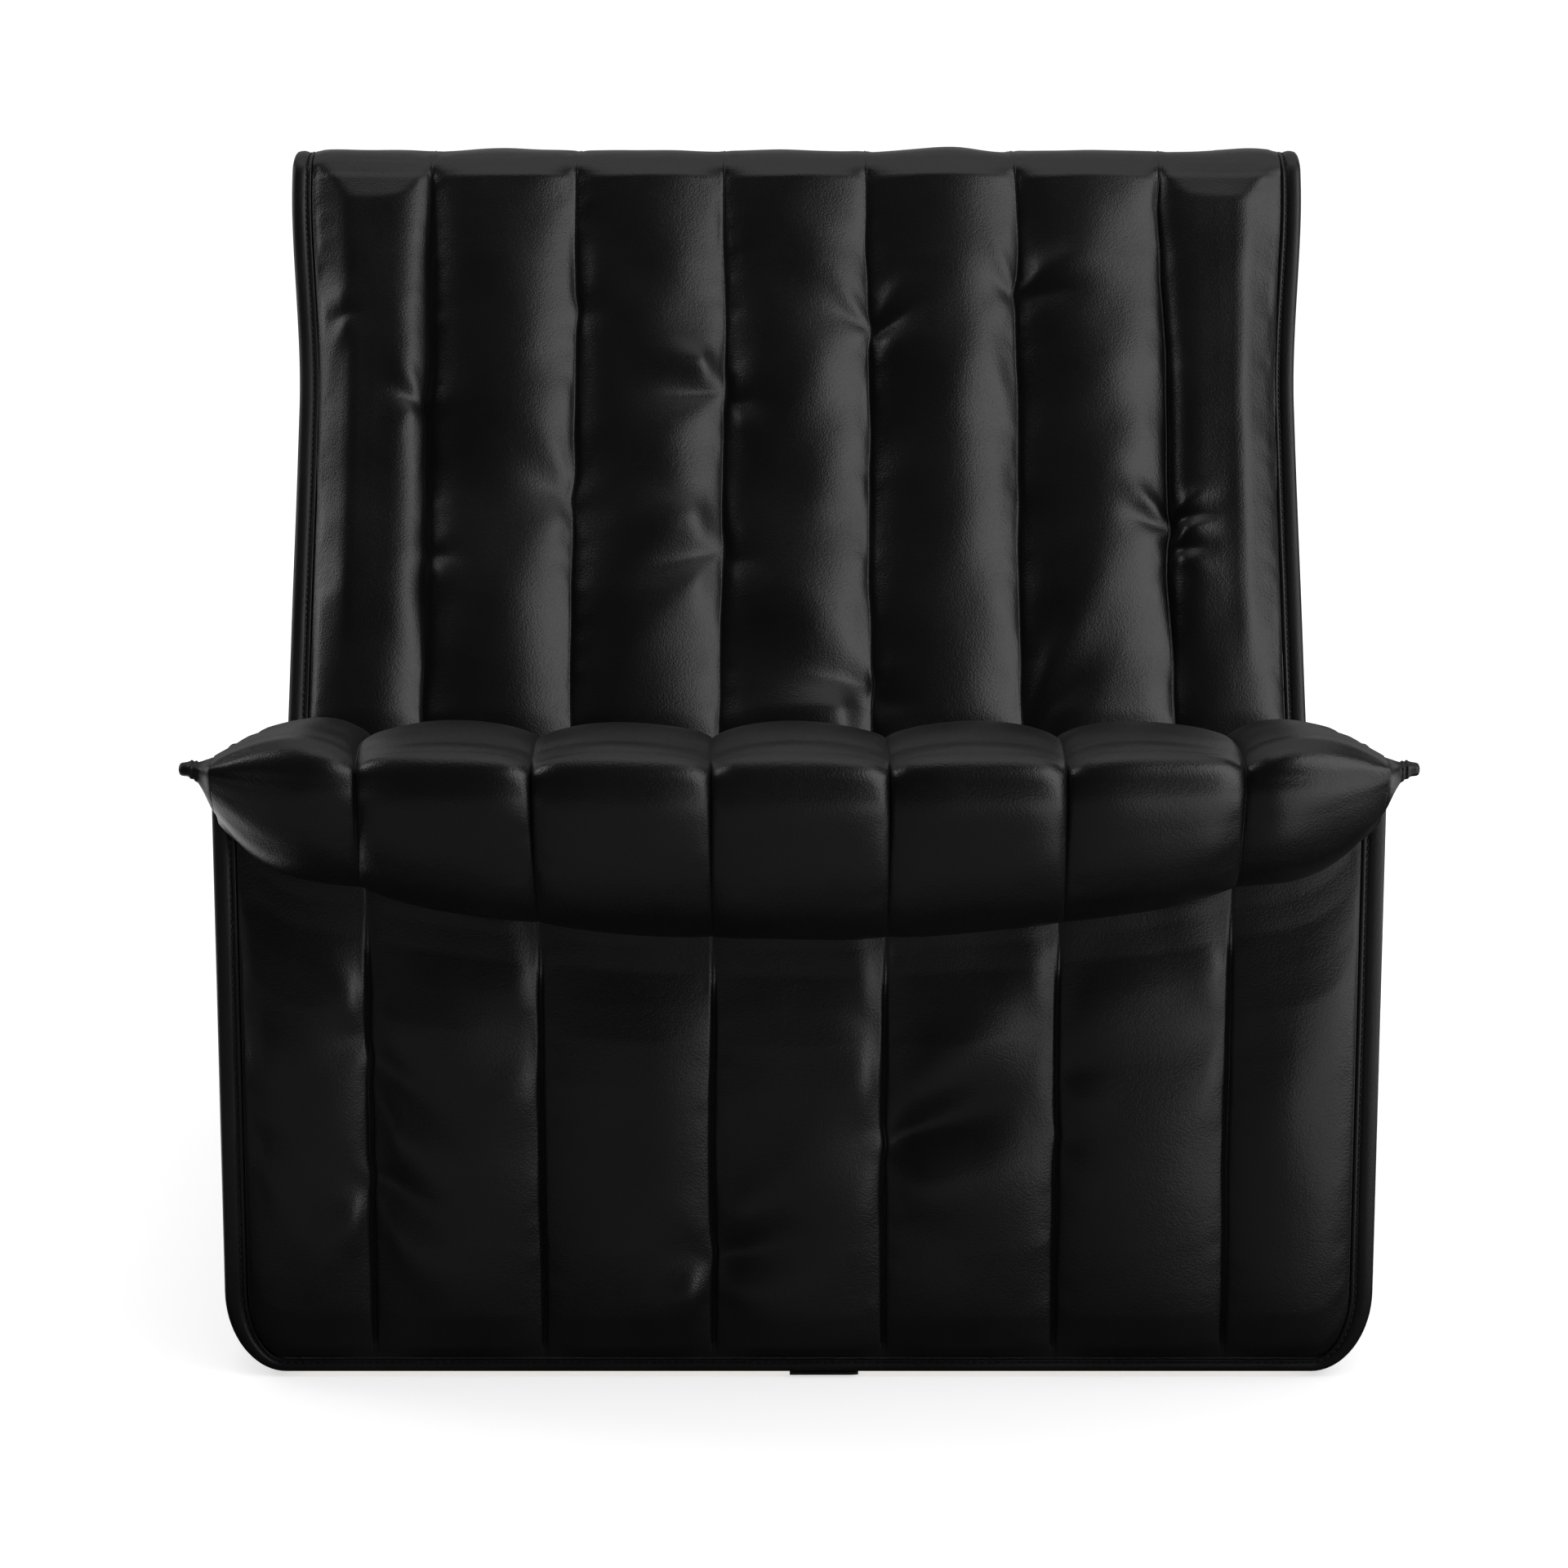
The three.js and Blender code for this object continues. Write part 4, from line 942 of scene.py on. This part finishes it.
# Ear tips: the blanket's edge drawn in to a knot and bound with two rings of thread. Each pair is how far
# out, as a share of the ear's length, and how large the loop is there.
EAR_PROFILE = [
    (-0.2, 0.95), (0, 0.99), (0.08, 0.95), (0.16, 0.88), (0.25, 0.78), (0.34, 0.67), (0.42, 0.58),
    (0.46, 0.54), (0.49, 0.57), (0.53, 0.57), (0.56, 0.5), (0.59, 0.5), (0.62, 0.53), (0.66, 0.53),
    (0.69, 0.46), (0.76, 0.41), (0.84, 0.39), (0.92, 0.37), (0.97, 0.31), (1, 0.18),
]
KNOT_SETBACK, KNOT_SIZE, KNOT_SHIFT = 22.0, (13.0, 10.0), np.array([-3.0, 6.0])
PLEATS, PLEAT_DEPTH, EAR_BACK_DROP = 5, 0.07, 8.0
end_loop = lip_points(QUILT_HALF)
end_loop = np.concatenate([end_loop, end_loop[:1]])
end_knots = arc_knots(end_loop)
end_places = np.linspace(0, end_knots[-1], 41)[:-1]
end_loop = np.stack([np.interp(end_places, end_knots, end_loop[:, k]) for k in range(2)], -1)
behind = smooth(lip_end[0] - 18, lip_end[0] + 8, end_loop[:, 0])
end_loop[:, 1] -= EAR_BACK_DROP * behind * smooth(412, 420, end_loop[:, 1])
middle = np.array([LIP_SETBACK + KNOT_SETBACK, float(lip_top(EAR_ROOT) + lip_underside(EAR_ROOT)) / 2])
angle = np.arctan2(end_loop[:, 1] - middle[1], end_loop[:, 0] - middle[0])
knot_loop = np.stack([KNOT_SIZE[0] * np.cos(angle), KNOT_SIZE[1] * np.sin(angle)], -1)
for side, word in SIDES:
    rings = []
    for out, size in EAR_PROFILE:
        morph = smooth(0.0, 0.6, out)
        shape = (end_loop - middle) * (1 - morph) + knot_loop * 1.15 * morph
        pleat = PLEAT_DEPTH * np.cos(PLEATS * angle) * smooth(0.05, 0.3, out) * (1 - smooth(0.6, 0.9, out))
        centre = middle + KNOT_SHIFT * smooth(0, 0.8, out)
        loop = centre + shape * size * (1 + pleat)[:, None]
        rings.append(with_x(loop, side * (EAR_ROOT + (EAR_TIP_END - EAR_ROOT) * out)))
    piece = swept(f"folded_ear_tip_{word}", rings, BAND, sharp=80)
    finished(piece, [f"ear_tip_{word}"])

# Gussets: the leather that closes each ear from behind, between the lip, the edge bands and the side cover.
# Each ring is its place across, the section's size there, and how far it moves back.
GUSSET_SECTION = np.array([
    (99.5, 396), (99.5, 412), (98, 416), (94, 417), (86, 417), (82, 416), (80, 414), (81, 411), (85, 408.5),
    (91.5, 407.5), (92.8, 405), (93, 396),
])
GUSSET_RINGS = [(346, 0.9, 0), (350, 1, 0), (370, 1, 0), (377, 0.98, 1), (381, 0.93, 3), (383, 0.82, 4)]
gusset_middle = np.mean(GUSSET_SECTION, axis=0)
for side, word in SIDES:
    rings = []
    for x, size, back in GUSSET_RINGS:
        section = gusset_middle + (GUSSET_SECTION - gusset_middle) * size
        section[:, 0] = np.maximum(section[:, 0], 80 + 2.4 * back) + 0.4 * back * (1 - size)
        rings.append(with_x(section, side * x))
    finished(swept(f"ear_gusset_{word}", rings, BAND), [])


# Stitches, along the groove of each band
STITCH_PITCH, STITCH_LENGTH, STITCH_THICK = 5.0, 3.6, 0.55
STITCH_SHARE, STITCH_RISE = 0.735, 1.35


def stitches(name, edges, inward):
    """Short lengths of thread laid along a band, sunk by half into the leather under them."""
    outer, inner = edges
    inward = np.broadcast_to(inward, outer.shape)
    path = outer + (inner - outer) * STITCH_SHARE + inward * STITCH_RISE
    knots = arc_knots(path)
    points = []
    ring = np.linspace(0, 2 * np.pi, 6, endpoint=False)
    for start in np.arange(STITCH_PITCH / 2, knots[-1] - STITCH_PITCH / 2, STITCH_PITCH):
        ends = [np.array([np.interp(start + d, knots, path[:, k]) for k in range(3)]) for d in (-0.5, 0.5)]
        middle = (ends[0] + ends[1]) / 2
        along = (ends[1] - ends[0]) / np.linalg.norm(ends[1] - ends[0])
        up = -inward[np.argmin(((path - middle) ** 2).sum(1))]
        up = up - along * up.dot(along)
        up /= np.linalg.norm(up)
        over = np.cross(along, up)
        for share in (-1, -0.72, 0, 0.72, 1):
            radius = STITCH_THICK * (0.25 if abs(share) == 1 else 1)
            centre = middle + along * STITCH_LENGTH / 2 * share + up * (0.25 - 0.5 * abs(share) ** 3)
            points += [centre + radius * (math.cos(a) * over + math.sin(a) * up) for a in ring]
    faces = [tuple(n + first for n in face) for first in range(0, len(points), 30) for face in tube(5, 6)]
    finished(mesh_object(name, world(points), faces, THREAD), [])


for _, word in SIDES:
    stitches(f"front_band_stitches_{word}", front_edges[word], (0, 1, 0))
    stitches(f"rear_band_stitches_{word}", rear_edges[word], (0, -1, 0))
    stitches(f"side_band_stitches_{word}", side_edges[word], side_inward)


# Side covers: an upright face, slightly crowned over its pad, that curls under at the bottom
COVER_CROWN, COVER_RISE, COVER_TOP = 4.0, 60, (402, 416)
inner_front = LIP_OVERHANG + BACKING + CLEARANCE
rear_line_end = rear_reach(HEM) - BACKING - CLEARANCE
inset = BACKING + CLEARANCE
seat_under = backing(seat_control[:1, :-1], np.full((1, seat_control.shape[1] - 3), inset))[0][lip_count - 1:]
back_under = backing(back_line[None], np.full((1, len(back_line) - 2), inset))[0]
shoulder = float(lip_top(QUILT_HALF)) - BACKING - CLEARANCE - LIP_EAR_DROP
top_control = np.concatenate([[[inner_front, shoulder]], seat_under, back_under])
top_knots = arc_knots(top_control)
top_places = rows_along(top_knots, 0, len(top_knots) - 1, COVER_ROW)
top_curve = spline_weights(top_knots, top_places) @ top_control
under_band = np.interp(top_curve[:, 0], side_curve[:, 0], side_curve[:, 1]) - BACKING - CLEARANCE
under_band += 0.2 * draw_in(top_curve[:, 0])
in_front = top_curve[:, 0] < EDGE_LEVEL[1]
top_curve[:, 1] = np.where(in_front, np.minimum(top_curve[:, 1], under_band), top_curve[:, 1])
span = (top_curve[:, 0] - top_curve[0, 0]) / (top_curve[-1, 0] - top_curve[0, 0])


def side_folds(y, z):
    """Soft drag lines that fan down from the crook, where the seat pulls the cover."""
    angle = np.arctan2(z - CROOK[1], y - CROOK[0])
    away = np.hypot(z - CROOK[1], y - CROOK[0])
    return 1.2 * np.sin(angle * 9 + 0.4 * np.sin(away / 40)) * bell(away / 130, 1) * (away > 1)


def cover_rise(y, z):
    """How far the cover's face stands out at a reach and height: its crown, unevenness and folds."""
    gap = np.min([np.hypot(y - py, z - pz) for py, pz in top_curve[::2]], axis=0)
    gap = np.minimum(gap, np.minimum(y - inner_front, rear_reach(z) - BACKING - CLEARANCE - y))
    crown = np.sin(np.pi / 2 * np.clip(gap / COVER_RISE, 0, 1)) ** 0.8
    rise = COVER_CROWN * crown - 1.6 * (1 - smooth(0, 6, gap))
    rise += (1.1 * soft_noise(y, z, 120, 150, 301) + 0.5 * soft_noise(y, z, 46, 60, 302)) * smooth(0, 40, gap)
    rise += side_folds(y, z) * smooth(0, 50, gap)
    return rise * smooth(0, COVER_RISE, z - HEM)


def cover_face(half, bottom):
    """A face of the side cover: columns from the curl at the bottom up to the edge of seat and back."""
    curl = corner_path(half, bottom, np.linspace(np.pi / 2, 0, 14))
    ups = np.linspace(0, 1, 84)[1:]
    lines = []
    for (top_y, top_z), s in zip(top_curve, span):
        z = np.concatenate([curl[:, 1], CORNER_Z + (top_z - CORNER_Z) * ups])
        y = inner_front + (rear_line_end - inner_front) * s
        y = y + (top_y - y) * ((z - bottom) / (top_z - bottom))
        x = np.concatenate([curl[:, 0], np.full(len(ups), half)])
        lines.append(np.stack([x, y, z], -1))
    return np.array(lines)


for side, word in SIDES:
    outer = cover_face(SIDE_HALF, HEM)
    outer[..., 0] += cover_rise(outer[..., 1], outer[..., 2])
    inner = cover_face(SIDE_HALF - SIDE_THICKNESS, HEM + SIDE_THICKNESS)[:, ::6]
    for grid in (outer, inner):
        grid[..., 0] -= draw_in(grid[..., 1]) * smooth(*COVER_TOP, grid[..., 2])
        grid[..., 0] *= side
    cover = sheet_solid(f"side_leather_{word}", outer, inner, SIDE)
    finished(cover, [f"side_cover_{word}"])

# Hidden soft pieces: copies of their solids with rounded edges, with a fill and a radius in millimetres.
# The bolt and the seat's foam are drawn in, and the side wadding's top sinks, so that none comes through
# the leather.
SOFT_INSIDE = {
    "lip_bolt": ("stuffed_lip_bolt", "fibre", 0.8, 4),
    "side_pad_right": ("side_wadding_right", "fibre", 0.3, 3),
    "side_pad_left": ("side_wadding_left", "fibre", 0.3, 3),
    "front_foam": ("front_foam_sheet", "foam", 0.9, 3),
    "seat_foam": ("seat_foam_block", "foam", 0.9, 6),
    "back_foam": ("back_foam_block", "foam", 0.9, 5),
    "rear_foam": ("rear_foam_sheet", "foam", 0.9, 2),
}
SINK_FROM, SINK, DRAW_IN = 0.3, 0.026, 0.95
for node_name, (name, slot_name, fill, radius) in SOFT_INSIDE.items():
    copy = bpy.data.objects.new(name, frame["nodes"][node_name].data.copy())
    bpy.context.scene.collection.objects.link(copy)
    copy.data.materials.clear()
    copy.data.materials.append(FINISHES[slot_name])
    for corner in copy.data.vertices:
        if node_name in ("lip_bolt", "seat_foam"):
            corner.co.x *= DRAW_IN
        elif node_name.startswith("side_pad") and corner.co.z > SINK_FROM:
            corner.co.z -= SINK
    rounded = copy.modifiers.new("rounded", "BEVEL")
    rounded.width = radius * MM
    rounded.segments = 2
    rounded.limit_method = "ANGLE"
    rounded.angle_limit = math.radians(35)
    finished(copy, [node_name])

# Finishes of the pieces that stay as the frame has them
for part in frame["record"]["subparts"]:
    carried = frame["nodes"][part["node"]]
    carried.data.materials.clear()
    carried.data.materials.append(FINISHES[part["material_slot"]])

# Floor, light and camera
FLOOR_HALF = 30.0
FLOOR_GLOW = 0.55
WORLD_LIGHT = 1.02
CAMERA_PLACE, CAMERA_TILT, LENS, SENSOR = (-0.0098, -3.328, 1.068), 77.5, 107.44, 36

scene = bpy.context.scene
corners = [(FLOOR_HALF * x, FLOOR_HALF * y, 0) for x, y in ((-1, -1), (1, -1), (1, 1), (-1, 1))]
floor_mesh = bpy.data.meshes.new("studio_floor")
floor_mesh.from_pydata(corners, [], [(0, 1, 2, 3)])
floor = bpy.data.objects.new("studio_floor", floor_mesh)
scene.collection.objects.link(floor)
paper, paper_tree, paper_main = shader(
    "paper", Roughness=0.9, Specular_IOR_Level=0.1, Emission_Color=(1, 1, 1, 1), Emission_Strength=FLOOR_GLOW
)
paper_grain = noise(paper_tree, place(paper_tree), 220, 3)
tint(paper_tree, paper_main, paper_grain, (0.5, 0.5, 0.5), (0.52, 0.52, 0.52))
floor_mesh.materials.append(paper)
floor.visible_diffuse = False
floor.visible_glossy = False

# Soft lights: place, point that each faces, width, height and glow. They are hidden from the camera, and the
# bounces stand for the pale floor, which the leather doesn't reflect.
LIGHTS = {
    "overhead": ((0.9, 0.8, 5.0), (0.9, 0.8, 0), 5.0, 2.6, 0.75),
    "overhead_back": ((0, 3.6, 5.0), (0, 2.4, 0), 7.0, 3.2, 0.43),
    "back_wall": ((0, 5.4, 2.2), (0, 0, 0.6), 8.0, 3.2, 0.33),
    "right_softbox": ((3.0, -1.3, 2.0), (0, 0, 0.5), 2.7, 4.0, 2.25),
    "right_fill": ((2.0, -3.0, 2.5), (0, 0, 0.5), 1.3, 2.4, 0.5),
    "left_softbox": ((-3.0, 0.85, 1.8), (0, 0, 0.5), 0.9, 3.0, 2.8),
    "rear_right": ((3.6, 3.6, 1.2), (0, 0, 0.4), 2.6, 2.4, 0.7),
    "rear_left": ((-3.6, 3.6, 1.2), (0, 0, 0.4), 2.0, 2.4, 0.5),
    "front_bounce": ((-0.25, -1.73, 0.01), (-0.25, -1.73, 1), 1.4, 2.46, 0.12),
    "middle_bounce": ((0.75, -1.75, 0.01), (0.75, -1.75, 1), 0.6, 2.4, 0.9),
    "right_bounce": ((2.0, -1.1, 0.01), (2.0, -1.1, 1), 1.9, 3.6, 1.6),
    "left_bounce": ((-1.1, 0.4, 0.01), (-1.1, 0.4, 1), 1.2, 1.3, 1.2),
    "far_left_bounce": ((-2.0, -0.9, 0.01), (-2.0, -0.9, 1), 0.9, 1.3, 0.5),
}
for name, (place_at, look_at, width, height, glow) in LIGHTS.items():
    lamp = bpy.data.lights.new(name, "AREA")
    lamp.shape = "RECTANGLE"
    lamp.size, lamp.size_y = width, height
    lamp.energy = glow * math.pi * width * height
    light = bpy.data.objects.new(name, lamp)
    light.location = place_at
    light.rotation_euler = (Vector(look_at) - Vector(place_at)).to_track_quat("-Z", "Y").to_euler()
    light.visible_camera = False
    scene.collection.objects.link(light)

studio = bpy.data.worlds.new("studio")
scene.world = studio
studio.use_nodes = True
background = studio.node_tree.nodes["Background"]
background.inputs["Color"].default_value = (1, 1, 1, 1)
background.inputs["Strength"].default_value = WORLD_LIGHT
for way in ("glossy", "transmission", "scatter"):
    setattr(studio.cycles_visibility, way, False)

scene.view_settings.view_transform = "Standard"
scene.view_settings.look = "None"
scene.view_settings.exposure = 0
scene.view_settings.gamma = 1

camera_data = bpy.data.cameras.new("camera")
camera_data.sensor_width = SENSOR
camera_data.lens = LENS
camera = bpy.data.objects.new("camera", camera_data)
camera.location = CAMERA_PLACE
camera.rotation_euler = (math.radians(CAMERA_TILT), 0, 0)
scene.collection.objects.link(camera)
scene.camera = camera
